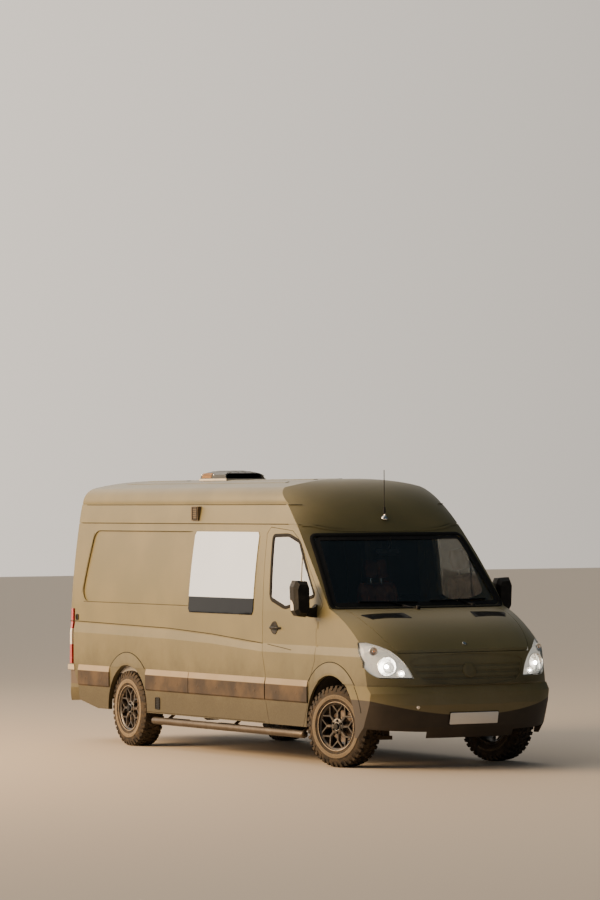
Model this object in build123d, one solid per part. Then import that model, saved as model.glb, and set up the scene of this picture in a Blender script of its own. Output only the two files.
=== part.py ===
from build123d import *
import math
import os

# High roof camper van, long wheelbase, steering wheel on its right side.
# Millimetres. The nose faces -Y, the van's left is +X, the ground is Z = 0 and the
# origin is under the middle of the van. A station is a distance behind the nose.

# Driving dimensions
LENGTH = 6945.0
REAR_STEP = 100.0
FRONT_OVERHANG = 1004.0
WHEELBASE = 4325.0
HALF_WIDTH = 984.0
ROOF_HEIGHT = 2728.0
SILL_HEIGHT = 360.0
WALL = 45.0
NOSE_WALL = 25.0
PANEL_GAP = 5.0
GLASS = 6.0
GLASS_SET = 3.0
SEAT_GAP = 0.3
RUNNING_FIT = 0.05

TYRE_RADIUS = 387.5
TYRE_WIDTH = 245.0
TYRE_TRACK = 1714.0
RIM_RADIUS = 221.0
FRONT_ARCH = 480.0
REAR_ARCH = 445.0
KINGPIN_X = 790.0
REST_STEER = 17.5

BELT_HEIGHT = 1135.0
GUTTER_HEIGHT = 2285.0
FLOOR_TOP = 680.0
FLOOR_THICK = 40.0
RAIL_X = 470.0
RAIL_WIDTH = 70.0
STRIP_LOW = 586.0
STRIP_HIGH = 804.0
STRIP_PROUD = 12.5

BACK = LENGTH - REAR_STEP
FRONT_AXLE = FRONT_OVERHANG
REAR_AXLE = FRONT_OVERHANG + WHEELBASE
AXLE_HEIGHT = TYRE_RADIUS
SIDES = ((-1, "right"), (1, "left"))
# Limits that lie outside the van on every side, for cutting prisms
OUT_X = 1100.0
OUT_FRONT = -100.0
OUT_BACK = LENGTH + 100.0
OUT_TOP = 3000.0


# Working planes: a point on the side plane is (station, height), on the plan
# plane (x, station) and on the front plane (x, height).
def side_plane(x):
    return Plane(origin=(x, -LENGTH / 2, 0), x_dir=(0, 1, 0), z_dir=(1, 0, 0))


def plan_plane(height):
    return Plane(origin=(0, -LENGTH / 2, height), x_dir=(1, 0, 0), z_dir=(0, 0, 1))


def front_plane(station):
    return Plane(origin=(0, station - LENGTH / 2, 0), x_dir=(1, 0, 0), z_dir=(0, -1, 0))


def station_y(station):
    return station - LENGTH / 2


def outline(points, radius=0.0):
    face = make_face(Polyline(*points, close=True))
    return fillet(face.vertices(), radius) if radius else face


def both_halves(points):
    return points + [(-x, other) for x, other in reversed(points)]


def side_prism(face, x_from, x_to):
    return extrude(side_plane(min(x_from, x_to)) * face, abs(x_to - x_from))


def plan_prism(face, low, high):
    return extrude(plan_plane(low) * face, high - low)


def front_prism(face, first, last):
    return extrude(front_plane(last) * face, last - first)


def block(x0, x1, s0, s1, z0, z1):
    middle = ((x0 + x1) / 2, station_y((s0 + s1) / 2), (z0 + z1) / 2)
    return Pos(*middle) * Box(abs(x1 - x0), abs(s1 - s0), abs(z1 - z0))


def cross_cylinder(radius, x0, x1, station, height):
    middle = ((x0 + x1) / 2, station_y(station), height)
    return Pos(*middle) * Rot(0, 90, 0) * Cylinder(radius, abs(x1 - x0))


def long_cylinder(radius, x, s0, s1, height):
    return Pos(x, station_y((s0 + s1) / 2), height) * Rot(90, 0, 0) * Cylinder(radius, abs(s1 - s0))


def mirrored(shape):
    return mirror(shape, Plane.YZ)


def node(name, *solids):
    for solid in solids:
        solid.label = name
    shape = Compound(label=name, children=[part for s in solids for part in s.solids()])
    export_step(shape, os.path.join("parts", name + ".step"))


os.makedirs("parts", exist_ok=True)

# The body is the common part of three forms: the side view, which sweeps back
# and drops towards the sides of the van, the plan view and the cross section.
# Each row: first value, second value, and whether the point is the middle of an arc.
# The side view's rows also have the sweep back and the drop at the side of the van,
# which grow with the fourth power of the distance from the middle.
SWEEP_HALF_WIDTH = 1000.0
LOFT_WIDTHS = (-1060, -700, 0, 700, 1060)
BODY_FOOT = 0.0
SIDE_VIEW = [
    (80, BODY_FOOT, 300, 0, False),
    (BACK, BODY_FOOT, -150, 0, False),
    (BACK - 33, 1400, -150, 0, False),
    (BACK - 145, 2500, -150, 0, False),
    (BACK - 255, ROOF_HEIGHT - 58, -130, 0, True),
    (BACK - 495, ROOF_HEIGHT, 0, 0, False),
    (2560, ROOF_HEIGHT, 300, 0, False),
    (1860, ROOF_HEIGHT - 216, 470, 5, True),
    (1605, 2200, 170, 10, False),
    (1295, 1858, 115, 5, True),
    (1010, 1497, 60, 5, False),
    (480, 1370, 290, 20, True),
    (147, 1122, 275, 20, False),
    (50, 800, 320, 0, False),
]
PLAN_HALF = [
    (930, 60, False),
    (974, 330, True),
    (HALF_WIDTH, 760, False),
    (HALF_WIDTH, BACK - 135, False),
    (HALF_WIDTH - 30, BACK - 20, True),
    (HALF_WIDTH - 104, BACK + 20, False),
]
SECTION_HALF = [
    (HALF_WIDTH, BODY_FOOT, False),
    (HALF_WIDTH, BELT_HEIGHT - 80, False),
    (HALF_WIDTH - 16, BELT_HEIGHT, False),
    (HALF_WIDTH - 20, 1450, False),
    (HALF_WIDTH - 43, 1870, True),
    (HALF_WIDTH - 85, 2262, False),
    (HALF_WIDTH - 100, 2375, True),
    (HALF_WIDTH - 120, 2480, False),
    (HALF_WIDTH - 131, 2487, False),
    (HALF_WIDTH - 148, 2580, True),
    (HALF_WIDTH - 224, 2650, False),
    (400, ROOF_HEIGHT - 16, True),
]


def inset_face(rows, inset):
    # rows go round anticlockwise; each corner moves in along its bisector
    moved = []
    for i, (x, y, is_middle) in enumerate(rows):
        before = rows[i - 1]
        after = rows[(i + 1) % len(rows)]
        first = Vector(x - before[0], y - before[1]).normalized()
        second = Vector(after[0] - x, after[1] - y).normalized()
        normal = Vector(-first.Y - second.Y, first.X + second.X)
        reach = inset / (1 + first.dot(second))
        moved.append((x + normal.X * reach, y + normal.Y * reach))
    edges = []
    for i, (x, y, is_middle) in enumerate(rows):
        after = (i + 1) % len(rows)
        if is_middle:
            edges.append(ThreePointArc(moved[i - 1], moved[i], moved[after]))
        elif not rows[after][2]:
            edges.append(Line(moved[i], moved[after]))
    return make_face(edges)


def mirrored_rows(half):
    return half + [(-x, other, m) for x, other, m in reversed(half)]


def side_view(x, inset, foot):
    share = (x / SWEEP_HALF_WIDTH) ** 4
    rows = []
    for station, height, back, drop, is_middle in SIDE_VIEW:
        level = foot if height == BODY_FOOT else height - share * drop
        rows.append((station + share * back, level, is_middle))
    return inset_face(rows, inset)


def plan_view(inset):
    return inset_face([(0, -200, False)] + mirrored_rows(PLAN_HALF), inset)


def cross_section(inset, foot):
    half = [(x, foot if z == BODY_FOOT else z, m) for x, z, m in SECTION_HALF]
    other = [(-x, z, m) for x, z, m in reversed(half)]
    return inset_face(half + [(0, ROOF_HEIGHT, False)] + other, inset)


def hull(inset, foot):
    sides = loft([side_plane(x) * side_view(x, inset, foot) for x in LOFT_WIDTHS])
    return sides & plan_prism(plan_view(inset), 0, OUT_TOP)


def van_body(inset, foot=SILL_HEIGHT):
    # foot is the height of the open underside, before any inset
    section = front_prism(cross_section(inset, foot), OUT_FRONT - 200, OUT_BACK + 200)
    return hull(inset, foot) & section


# The shoulder rises towards the rear: a wedge on each side, from the lower edge
# of its slope to the upper one. Rows: station, lower edge, upper edge.
SHOULDER = [(2400, 1055, 1135), (3470, 1105, 1198), (4390, 1125, 1232), (BACK, 1145, 1262)]
shoulder_low = [(s, low) for s, low, high in SHOULDER] + [(BACK, 1000), (2400, 1000)]
shoulder_high = [(s, high) for s, low, high in SHOULDER] + [(BACK, 1000), (2400, 1000)]
shoulder = loft(
    [side_plane(HALF_WIDTH - 20) * outline(shoulder_high), side_plane(HALF_WIDTH) * outline(shoulder_low)],
    ruled=True)
shoulder &= hull(0, SILL_HEIGHT)

outer = van_body(0)
inner = van_body(WALL, SILL_HEIGHT - 200)
shell = outer + shoulder + mirrored(shoulder) - inner


def skin(depth):
    return outer - van_body(depth, SILL_HEIGHT - 100)


SHALLOW = 7.0
DEEP = 14.0
shallow_skin = skin(SHALLOW)
deep_skin = skin(DEEP)
outside = van_body(-SEAT_GAP)


# Arch openings
front_arch = cross_cylinder(FRONT_ARCH, -OUT_X, OUT_X, FRONT_AXLE, AXLE_HEIGHT)
rear_arch = cross_cylinder(REAR_ARCH, -OUT_X, OUT_X, REAR_AXLE, AXLE_HEIGHT)

# Outlines of the panels, seen from the side: station and height
CAB_DOOR = [
    (1570, 300), (1450, 600), (1425, 800), (1315, 1000), (1315, 1400), (1185, 1530),
    (1635, 2047), (1756, 2163), (1885, 2231), (2330, 2264), (2400, 2200), (2400, 1130),
    (2310, 800), (2310, 567), (2220, 300),
]
CAB_WINDOW = [(2264, 2180), (1950, 2187), (1720, 2124), (1357, 1613), (1938, 1485), (2247, 1570)]
WINDOW_SILL = 1415.0
WINDOW_TOP = 2205.0
LOAD_WINDOW = [(2570, WINDOW_TOP), (3900, WINDOW_TOP), (3890, WINDOW_SILL), (2590, WINDOW_SILL)]
REAR_RECESS = [(3940, 1470), (3940, 2210), (6220, 2210), (6460, 1470)]
SLIDING_DOOR = [(2440, 300), (2440, 2255), (3760, 2255), (3760, 300)]
SLIDE_WINDOW = [(2570, WINDOW_TOP), (3650, WINDOW_TOP), (3640, WINDOW_SILL), (2590, WINDOW_SILL)]
GUTTER_LINE = [(1300, 2203), (1580, 2203), (1720, 2275), (1900, GUTTER_HEIGHT), (OUT_BACK, GUTTER_HEIGHT)]
GUTTER_GROOVE = 9.0
REAR_DOOR_HALF = 880.0
REAR_DOOR_LOW = 610.0
REAR_DOOR_HIGH = 2380.0
TAIL_LAMP_X = 892.0
TAIL_LAMP_LOW = 810.0
TAIL_LAMP_HIGH = 1390.0
# The rear bumper meets the body sides along this line
BUMPER_SEAM = [(6435, 300), (6490, 600), (6565, 690), (6580, STRIP_HIGH)]

door_cut = outline(CAB_DOOR)
door_panel = offset(door_cut, amount=-PANEL_GAP, kind=Kind.INTERSECTION)
cab_window = outline(CAB_WINDOW, 45)
load_window = outline(LOAD_WINDOW, 60)
slide_window = outline(SLIDE_WINDOW, 60)
recess = outline(REAR_RECESS, 120)
slide_cut = outline(SLIDING_DOOR)
slide_panel = offset(slide_cut, amount=-PANEL_GAP, kind=Kind.INTERSECTION)
rear_cut = outline(both_halves([(REAR_DOOR_HALF, REAR_DOOR_LOW), (REAR_DOOR_HALF, REAR_DOOR_HIGH)]), 60)
screen_cut = outline(both_halves([(930, 1505), (815, 2175)]), 70)

screen_hole = front_prism(screen_cut, 700, 2000)
rear_hole = front_prism(rear_cut, 6500, OUT_BACK)
nose_zone = block(-OUT_X, OUT_X, OUT_FRONT, 1315, 0, 1502) + block(-OUT_X, OUT_X, 1300, 1600, 0, 1000)
above_gutter = [(OUT_BACK, OUT_TOP), (1300, OUT_TOP)]
roof_zone = side_prism(outline(GUTTER_LINE + above_gutter), -OUT_X, OUT_X)
raised = [(s, z + GUTTER_GROOVE) for s, z in GUTTER_LINE]
groove = roof_zone - side_prism(outline(raised + above_gutter), -OUT_X, OUT_X)

# Roof: one high shell with its front cap, and a drip groove along its foot
roof = (shell & roof_zone) - rear_hole - (shallow_skin & groove)
node("roof_panel", roof)

# Body sides, each with its pillars, sill and quarter
bumper_cut = [(OUT_BACK, STRIP_HIGH), (OUT_BACK, 0), (6435, 0)]
body_frame = shell - roof_zone - nose_zone - screen_hole - rear_hole - front_arch - rear_arch
body_frame -= side_prism(outline(BUMPER_SEAM + bumper_cut), -OUT_X, OUT_X)
body_frame -= side_prism(outline([(5700, 357), (6000, 357), (6600, 460), (6600, 0), (5700, 0)]), -OUT_X, OUT_X)
tail_hole = block(TAIL_LAMP_X - SEAT_GAP, OUT_X, 6600, OUT_BACK, TAIL_LAMP_LOW - SEAT_GAP, TAIL_LAMP_HIGH + SEAT_GAP)
body_frame -= tail_hole + mirrored(tail_hole)
# Hinge blocks of the rear doors: station of the outer face there, and height
for station, height in ((6732, 830), (6705, 1500), (6640, 2170)):
    hinge_block = block(
        REAR_DOOR_HALF - PANEL_GAP + SEAT_GAP, TAIL_LAMP_X - 1, station - 42, station - 22, height, height + 90)
    body_frame += hinge_block + mirrored(hinge_block)
# An arch lip stands proud of the side, most at its edge
LIP_WIDTH = 125.0
LIP_EDGE = 24.0


def arch_lip(radius, width, station, zone):
    profile = make_face(Polyline(
        (HALF_WIDTH - 14, radius), (HALF_WIDTH + 10, radius), (HALF_WIDTH + 10, radius + LIP_EDGE),
        (HALF_WIDTH + 3, radius + width), (HALF_WIDTH - 14, radius + width), close=True))
    ring = revolve(profile, Axis.X)
    return Pos(0, station_y(station), AXLE_HEIGHT) * ring & zone


rear_lip = arch_lip(REAR_ARCH, LIP_WIDTH, REAR_AXLE, block(0, OUT_X, 4000, 6600, STRIP_HIGH, 1500))
for sign, side in SIDES:
    half = block(0, sign * OUT_X, OUT_FRONT, OUT_BACK, 0, OUT_TOP)
    wall_side = body_frame & half
    wall_side -= side_prism(door_cut, 0, sign * OUT_X)
    if sign > 0:
        wall_side -= side_prism(slide_cut, 0, sign * OUT_X)
    else:
        wall_side -= side_prism(load_window, 0, sign * OUT_X)
    wall_side -= deep_skin & side_prism(recess, 0, sign * OUT_X)
    wall_side += rear_lip if sign > 0 else mirrored(rear_lip)
    node("body_side_" + side, *sorted(wall_side.solids(), key=lambda s: -s.volume))

# Sliding door on the van's left, with its window cut
sliding = shell & side_prism(slide_panel, 0, OUT_X)
sliding -= side_prism(slide_window, 0, OUT_X)
node("sliding_door", sliding)

# Panes
pane_skin = van_body(GLASS_SET) - van_body(GLASS_SET + GLASS, SILL_HEIGHT - 100)
load_pane = offset(load_window, amount=-SEAT_GAP)
slide_pane = offset(slide_window, amount=-SEAT_GAP)
screen_pane = offset(screen_cut, amount=-SEAT_GAP)
node(
    "side_glass",
    pane_skin & side_prism(load_pane, 0, -OUT_X),
    pane_skin & side_prism(slide_pane, 0, OUT_X),
)
node("windscreen", pane_skin & front_prism(screen_pane, 700, 2000))

# Cab doors with their panes, mirrors and rub strips
cab_pane = offset(cab_window, amount=-SEAT_GAP)
STRIP_SECTION = [
    (HALF_WIDTH + SEAT_GAP, STRIP_LOW), (HALF_WIDTH + STRIP_PROUD, STRIP_LOW + 15),
    (HALF_WIDTH + STRIP_PROUD, STRIP_HIGH - 55), (HALF_WIDTH + SEAT_GAP, STRIP_HIGH),
]
# The mirror head, seen from the front: x and height. It tapers towards its front.
MIRROR_HEAD = [
    (1035, 1480), (1075, 1412), (1165, 1425), (1198, 1470), (1208, 1700), (1180, 1760), (1060, 1752), (1038, 1700),
]
MIRROR_FRONT = 1272.0
MIRROR_BACK = 1400.0
MIRROR_FOOT = [(930, 1408), (1010, 1408), (1085, 1425), (1085, 1500), (1000, 1500), (930, 1560)]


def rub_strip(sign, first, last):
    strip = front_prism(outline(STRIP_SECTION), first, last)
    return strip if sign > 0 else mirrored(strip)


def door_mirror():
    deep = front_prism(outline(MIRROR_HEAD), MIRROR_FRONT + 50, MIRROR_BACK)
    centre = (1122, 1590)
    small = [(centre[0] + (x - centre[0]) * 0.72, centre[1] + (z - centre[1]) * 0.80) for x, z in MIRROR_HEAD]
    nose = loft(
        [front_plane(MIRROR_FRONT + 50) * outline(MIRROR_HEAD), front_plane(MIRROR_FRONT) * outline(small)],
        ruled=True)
    foot = front_prism(outline(MIRROR_FOOT), 1300, 1352)
    return deep + nose + foot - outside


mirror_left = door_mirror()
for sign, side in SIDES:
    door = shell & side_prism(door_panel, 0, sign * OUT_X)
    door -= side_prism(cab_window, 0, sign * OUT_X)
    node("cab_door_" + side, door)
    node("cab_glass_" + side, pane_skin & side_prism(cab_pane, 0, sign * OUT_X))
    node("mirror_" + side, mirror_left if sign > 0 else mirrored(mirror_left))
    node("door_strip_" + side, rub_strip(sign, 1460, 2300))

# Rear doors, each with two pressed fields
REAR_FIELDS = ((1500, 2200), (800, 1320))
rear_leaf = offset(rear_cut, amount=-PANEL_GAP)
for sign, side in SIDES:
    half_leaf = rear_leaf & Pos(sign * (500 + PANEL_GAP / 2), 1500) * Rectangle(1000, 3000)
    leaf = shell & front_prism(half_leaf, 6500, OUT_BACK)
    for low, high in REAR_FIELDS:
        field = outline([(sign * 110, low), (sign * 700, low), (sign * 700, high), (sign * 110, high)], 60)
        leaf -= deep_skin & front_prism(field, 6600, OUT_BACK)
    node("rear_door_" + side, leaf)

# Nose panels. The bonnet seen from above: x and station. Its rear edge is an arc.
BONNET_HALF = [
    (690, -50, False), (700, 190, False), (745, 265, False), (785, 400, False),
    (822, 600, False), (838, 800, False), (838, 1035, False),
]
BONNET_REAR = 900.0
BONNET_LOW = 1090.0
BONNET_VENT = [(362, 700), (800, 770), (735, 635), (340, 560)]
# Lamp and grille from the front: x and height
LAMP = [
    (593, 857, False), (880, 861, False), (962, 925, True), (990, 1040, False), (1150, 1040, False),
    (1150, 1196, False), (924, 1190, False), (727, 1075, True),
]
LAMP_SIDE = [(-100, 800), (400, 800), (400, 1010), (502, 1120), (520, 1200), (-100, 1200)]
LAMP_DEPTH = 60.0
GRILLE_ZONE = [(-575, 785), (575, 785), (700, BONNET_LOW), (-700, BONNET_LOW)]
GRILLE_FIELD = [
    (-505, 832, False), (0, 786, True), (505, 832, False), (575, 905, False), (618, 1010, False),
    (560, 1045, False), (0, 1079, True), (-560, 1045, False), (-618, 1010, False), (-575, 905, False),
]
# Slots between the grille's slats: low edge, high edge, half width at the bottom and top
GRILLE_SLOTS = [(842, 866, 500, 518), (898, 924, 548, 560), (956, 982, 572, 580)]
BUMPER_FOOT = 298.0
BUMPER_TOP = 785.0


def bonnet_outline(inset):
    half = [(x, s, m) for x, s, m in BONNET_HALF]
    other = [(-x, s, m) for x, s, m in reversed(half)]
    return inset_face(half + [(0, BONNET_REAR, True)] + other, inset)


nose_skin = skin(NOSE_WALL) & nose_zone
bonnet_zone = plan_prism(bonnet_outline(0), BONNET_LOW, 1600)
bonnet = nose_skin & plan_prism(bonnet_outline(PANEL_GAP), BONNET_LOW + PANEL_GAP, 1600)
for vent in (outline(BONNET_VENT, 14), mirror(outline(BONNET_VENT, 14), Plane.YZ)):
    bonnet -= shallow_skin & plan_prism(vent, 1300, 1600)
node("bonnet", bonnet)


def lamp_prism(inset):
    prism = front_prism(inset_face(LAMP, inset), OUT_FRONT, 800)
    side = side_prism(offset(outline(LAMP_SIDE), amount=-inset, kind=Kind.INTERSECTION), 0, OUT_X)
    return prism & side


lamp_hole = lamp_prism(0)
lamp = skin(LAMP_DEPTH) & nose_zone & lamp_prism(SEAT_GAP)
node("headlamps", lamp, mirrored(lamp))

grown_lamp = front_prism(inset_face(LAMP, -8), OUT_FRONT, 800)
grille_hole = front_prism(outline(GRILLE_ZONE), OUT_FRONT, 500) - grown_lamp - mirrored(grown_lamp)
grille_face = offset(outline(GRILLE_ZONE), amount=-SEAT_GAP, kind=Kind.INTERSECTION)
held_lamp = front_prism(inset_face(LAMP, -8 - SEAT_GAP), OUT_FRONT, 800)
grille = (nose_skin & front_prism(grille_face, OUT_FRONT, 500)) - held_lamp - mirrored(held_lamp)
grille -= shallow_skin & front_prism(inset_face(GRILLE_FIELD, 0), OUT_FRONT, 500)
for low, high, half_low, half_high in GRILLE_SLOTS:
    slot = outline([(-half_low, low), (half_low, low), (half_high, high), (-half_high, high)])
    grille -= deep_skin & front_prism(slot, OUT_FRONT, 500)
node("grille", grille)

bumper_zone = block(-OUT_X, OUT_X, OUT_FRONT, 690, 0, BUMPER_TOP)
COWL_HALF = [(838, 1035, False), (838, 1330, False)]


def cowl_outline(inset):
    other = [(-x, s, m) for x, s, m in reversed(COWL_HALF)]
    return inset_face(COWL_HALF + other + [(0, BONNET_REAR, True)], inset)


cowl_zone = plan_prism(cowl_outline(0), 1300, 1502)
lamp_holes = lamp_hole + mirrored(lamp_hole)
wings = nose_skin - bonnet_zone - lamp_holes - grille_hole - bumper_zone - front_arch - cowl_zone - screen_hole
wings -= block(-OUT_X, OUT_X, OUT_FRONT, FRONT_AXLE, 0, 500)
front_lip = arch_lip(FRONT_ARCH, LIP_WIDTH - 5, FRONT_AXLE, block(0, OUT_X, 400, 1310, BUMPER_TOP + 10, 1500))
front_lip -= plan_prism(outline([(900, 400), (OUT_X, 400), (OUT_X, 700), (975, 560)]), 0, 1500)
for sign, side in SIDES:
    wing = wings & block(sign * 450, sign * OUT_X, OUT_FRONT, 1600, 0, 1502)
    wing -= side_prism(door_cut, 0, sign * OUT_X)
    # seats of the door hinges and of the bonnet hinge
    for low in (1080, 1300):
        wing += block(sign * 942, sign * 970, 1280, 1315 + PANEL_GAP - SEAT_GAP, low, low + 70)
    wing += block(sign * (838 - PANEL_GAP + SEAT_GAP), sign * 850, 980, 1020, 1458, 1476)
    wing += front_lip if sign > 0 else mirrored(front_lip)
    node("wing_" + side, *sorted(wing.solids(), key=lambda s: -s.volume)[:1])
node("cowl_panel", (nose_skin & plan_prism(cowl_outline(SEAT_GAP), 1300, 1500)) - screen_hole)

# Front bumper. Rows: station, height, sweep back at the side of the van
BUMPER_VIEW = [
    (95, BUMPER_FOOT, 430), (760, BUMPER_FOOT, 0), (760, BUMPER_TOP, 0), (62, BUMPER_TOP, 300),
    (34, 718, 270), (0, 610, 335), (14, 514, 360), (40, 400, 380),
]
BUMPER_PLAN_HALF = [(935, 60, False), (982, 330, True), (HALF_WIDTH + 6, 640, False), (HALF_WIDTH + 6, 760, False)]


def bumper_body(inset):
    views = []
    for x in LOFT_WIDTHS:
        share = (x / SWEEP_HALF_WIDTH) ** 4
        rows = [(s + share * back, z, False) for s, z, back in BUMPER_VIEW]
        views.append(side_plane(x) * inset_face(rows, inset))
    plan = inset_face([(0, -200, False)] + mirrored_rows(BUMPER_PLAN_HALF), inset)
    return loft(views) & plan_prism(plan, 0, 1000)


hollow = bumper_body(NOSE_WALL)
bumper = bumper_body(0) - hollow - Pos(0, 0, -2 * NOSE_WALL) * hollow - Pos(0, 3 * NOSE_WALL, 0) * hollow
bumper -= Pos(0, 150, 2 * NOSE_WALL) * hollow
bumper &= block(-OUT_X, OUT_X, OUT_FRONT, 685, 0, BUMPER_TOP - SEAT_GAP)
bumper -= front_arch
node("front_bumper", *sorted(bumper.solids(), key=lambda s: -s.volume)[:1])

# Rear bumper: a step below the doors, and a corner on each side up to the lamps
REAR_FOOT = 430.0
STEP_TOP = REAR_DOOR_LOW - 10
CORNER_X = REAR_DOOR_HALF + PANEL_GAP
REAR_PLAN_HALF = [
    (HALF_WIDTH, 6300, False), (HALF_WIDTH, BACK - 190, False), (HALF_WIDTH - 38, BACK - 100, True),
    (HALF_WIDTH - 102, BACK - 50, False), (HALF_WIDTH - 122, LENGTH - 60, False), (800, LENGTH - 18, False),
    (600, LENGTH, False),
]
LEDGE_PLAN_HALF = [
    (HALF_WIDTH + 8, 6300, False), (HALF_WIDTH + 8, BACK - 150, False), (HALF_WIDTH - 30, BACK - 62, True),
    (HALF_WIDTH - 104, BACK - 35, False),
]
LEDGE_LOW = STRIP_HIGH - 64
bumper_side = outline([
    (6490 + SEAT_GAP, 600), (6565 + SEAT_GAP, 690), (6580 + SEAT_GAP, STRIP_HIGH - 4), (OUT_BACK, STRIP_HIGH - 4),
    (OUT_BACK, 520), (6850, REAR_FOOT - 20), (6460, REAR_FOOT),
])
bumper_front = outline(both_halves([
    (930, 400), (HALF_WIDTH, 560), (HALF_WIDTH, LEDGE_LOW - 8), (HALF_WIDTH + 8, LEDGE_LOW), (HALF_WIDTH + 8, 900)]))
step = plan_prism(inset_face(mirrored_rows(REAR_PLAN_HALF), 0), 400, LEDGE_LOW)
ledge = plan_prism(inset_face(mirrored_rows(LEDGE_PLAN_HALF), 0), LEDGE_LOW, STRIP_HIGH - 4)
rear_bumper = (step + ledge) & side_prism(bumper_side, -OUT_X, OUT_X) & front_prism(bumper_front, 6300, OUT_BACK)
rear_bumper -= block(-CORNER_X, CORNER_X, 6300, OUT_BACK, STEP_TOP, 900)
rear_bumper -= block(-800, 800, 6300, 6700, 300, 900) + block(-830, 830, 6300, 6600, 300, 900)
node("rear_bumper", rear_bumper)

lamp_zone = block(TAIL_LAMP_X, OUT_X, 6600, OUT_BACK, TAIL_LAMP_LOW, TAIL_LAMP_HIGH)
tail_lamp = (outer + shoulder) - van_body(30, SILL_HEIGHT - 100)
tail_lamp &= lamp_zone & block(0, OUT_X, 6648, OUT_BACK, 0, OUT_TOP)
node("tail_lamps", tail_lamp, mirrored(tail_lamp))

# Rub strips and side step tubes on the body
STRIP_RUNS = ((2320, 3935), (3945, 4900), (5745, 6480))
node("rub_strips", *[rub_strip(sign, first, last) for sign, side in SIDES for first, last in STRIP_RUNS])

STEP_RADIUS = 30.0
STEP_X = 960.0
STEP_HEIGHT = 282.0
STEP_RUN = (1570, 4790)
STEP_BRACKETS = (1750, 3180, 4610)
steps = []
for sign, side in SIDES:
    tube = long_cylinder(STEP_RADIUS, sign * STEP_X, *STEP_RUN, STEP_HEIGHT)
    for station in STEP_BRACKETS:
        tube += long_cylinder(STEP_RADIUS + 6, sign * STEP_X, station - 25, station + 25, STEP_HEIGHT)
        tube += block(sign * 946, sign * 974, station - 25, station + 25, STEP_HEIGHT, SILL_HEIGHT)
    steps.append(tube)
node("side_steps", *steps)

# Floor with wheel housings and the cab bulkhead
HOUSING_X = 690.0
cabin = van_body(WALL + SEAT_GAP, 0)
floor = block(-1000, 1000, 1420, 6690, FLOOR_TOP - FLOOR_THICK, FLOOR_TOP) & cabin
for sign, side in SIDES:
    housing = cross_cylinder(REAR_ARCH + 25, sign * HOUSING_X, sign * 1000, REAR_AXLE, AXLE_HEIGHT)
    floor += housing & cabin & block(-1000, 1000, 4500, 6200, FLOOR_TOP - FLOOR_THICK, 1200)
for sign, side in SIDES:
    floor -= cross_cylinder(REAR_ARCH, sign * (HOUSING_X + 10), sign * OUT_X, REAR_AXLE, AXLE_HEIGHT)
for sign, side in SIDES:
    floor -= block(sign * 870, sign * OUT_X, 6430, 6700, 600, 700)
floor += block(-900, 900, 1490, 1515, FLOOR_TOP - FLOOR_THICK, 890)
floor += block(-900, 900, 1080, 1515, 865, 890)
floor += block(-860, 860, 1160, 1185, 870, 1430)
liner_zone = van_body(NOSE_WALL + 30, 0) & block(-1000, 1000, 700, 1500, 640, 1000)
for sign, side in SIDES:
    liner = cross_cylinder(FRONT_ARCH + 20, sign * 520, sign * 930, FRONT_AXLE, AXLE_HEIGHT)
    floor += liner & liner_zone
for sign, side in SIDES:
    floor -= cross_cylinder(FRONT_ARCH + 3, sign * 510, sign * 1000, FRONT_AXLE, AXLE_HEIGHT)
node("floor_pan", floor)

# Chassis
rails = block(-RAIL_X - RAIL_WIDTH / 2, -RAIL_X + RAIL_WIDTH / 2, 260, 6660, 500, FLOOR_TOP - FLOOR_THICK)
rails += mirrored(rails)
for station in (320, 1250, 1900, 2700, 3800, 4700, 5900, 6630):
    rails += block(-RAIL_X, RAIL_X, station - 30, station + 30, 530, FLOOR_TOP - FLOOR_THICK)
node("chassis_frame", rails)
node("engine_block", block(-290, 290, 480, 1080, 500, 1090))

# Wheels: one tyre and one rim, made at the origin with the outer face towards +X
WHEEL_X = TYRE_TRACK / 2
HALF_TYRE = TYRE_WIDTH / 2
FULL_TURN = 360.0
WHEEL_SIDES = 24
LUG_COUNT = 20
LUG_HEIGHT = 11.0
# half widths of a lug, as shares of the pitch
LUG_TIP = 0.28
LUG_FOOT = 0.32
CROWN = TYRE_RADIUS - LUG_HEIGHT
GROOVE_HALF = 10.0
# Tyre profile from bead to crown: distance from its middle plane, and radius
TYRE_PROFILE = [
    (HALF_TYRE - 22, RIM_RADIUS), (HALF_TYRE - 6, RIM_RADIUS + 26), (HALF_TYRE, 300),
    (HALF_TYRE - 8, 345), (HALF_TYRE - 24, CROWN - 8),
]
HUB_BORE = 40.0
RIM_HALF = HALF_TYRE - 20
RIM_WALL = 20.0
SPOKES = 8


def polar(radius, angle):
    turned = Vector(radius, 0, 0).rotate(Axis.Z, angle)
    return (turned.X, turned.Y)


def wheel_plane(x):
    return Plane(origin=(x, 0, 0), x_dir=(0, 1, 0), z_dir=(1, 0, 0))


def faceted_ring(profile):
    # profile: a closed loop of (x, radius of the flats); every facet is a flat trapezoid
    corners = []
    for x, radius in profile:
        reach = radius / math.cos(math.pi / WHEEL_SIDES)
        ring = [polar(reach, (k + 0.5) * FULL_TURN / WHEEL_SIDES) for k in range(WHEEL_SIDES)]
        corners.append([(x, y, z) for y, z in ring])
    faces = []
    for i, ring in enumerate(corners):
        after = corners[(i + 1) % len(corners)]
        for k in range(WHEEL_SIDES):
            faces.append(make_face(Polyline(ring[k - 1], ring[k], after[k], after[k - 1], close=True)).face())
    return Solid(Shell(faces))


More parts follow.
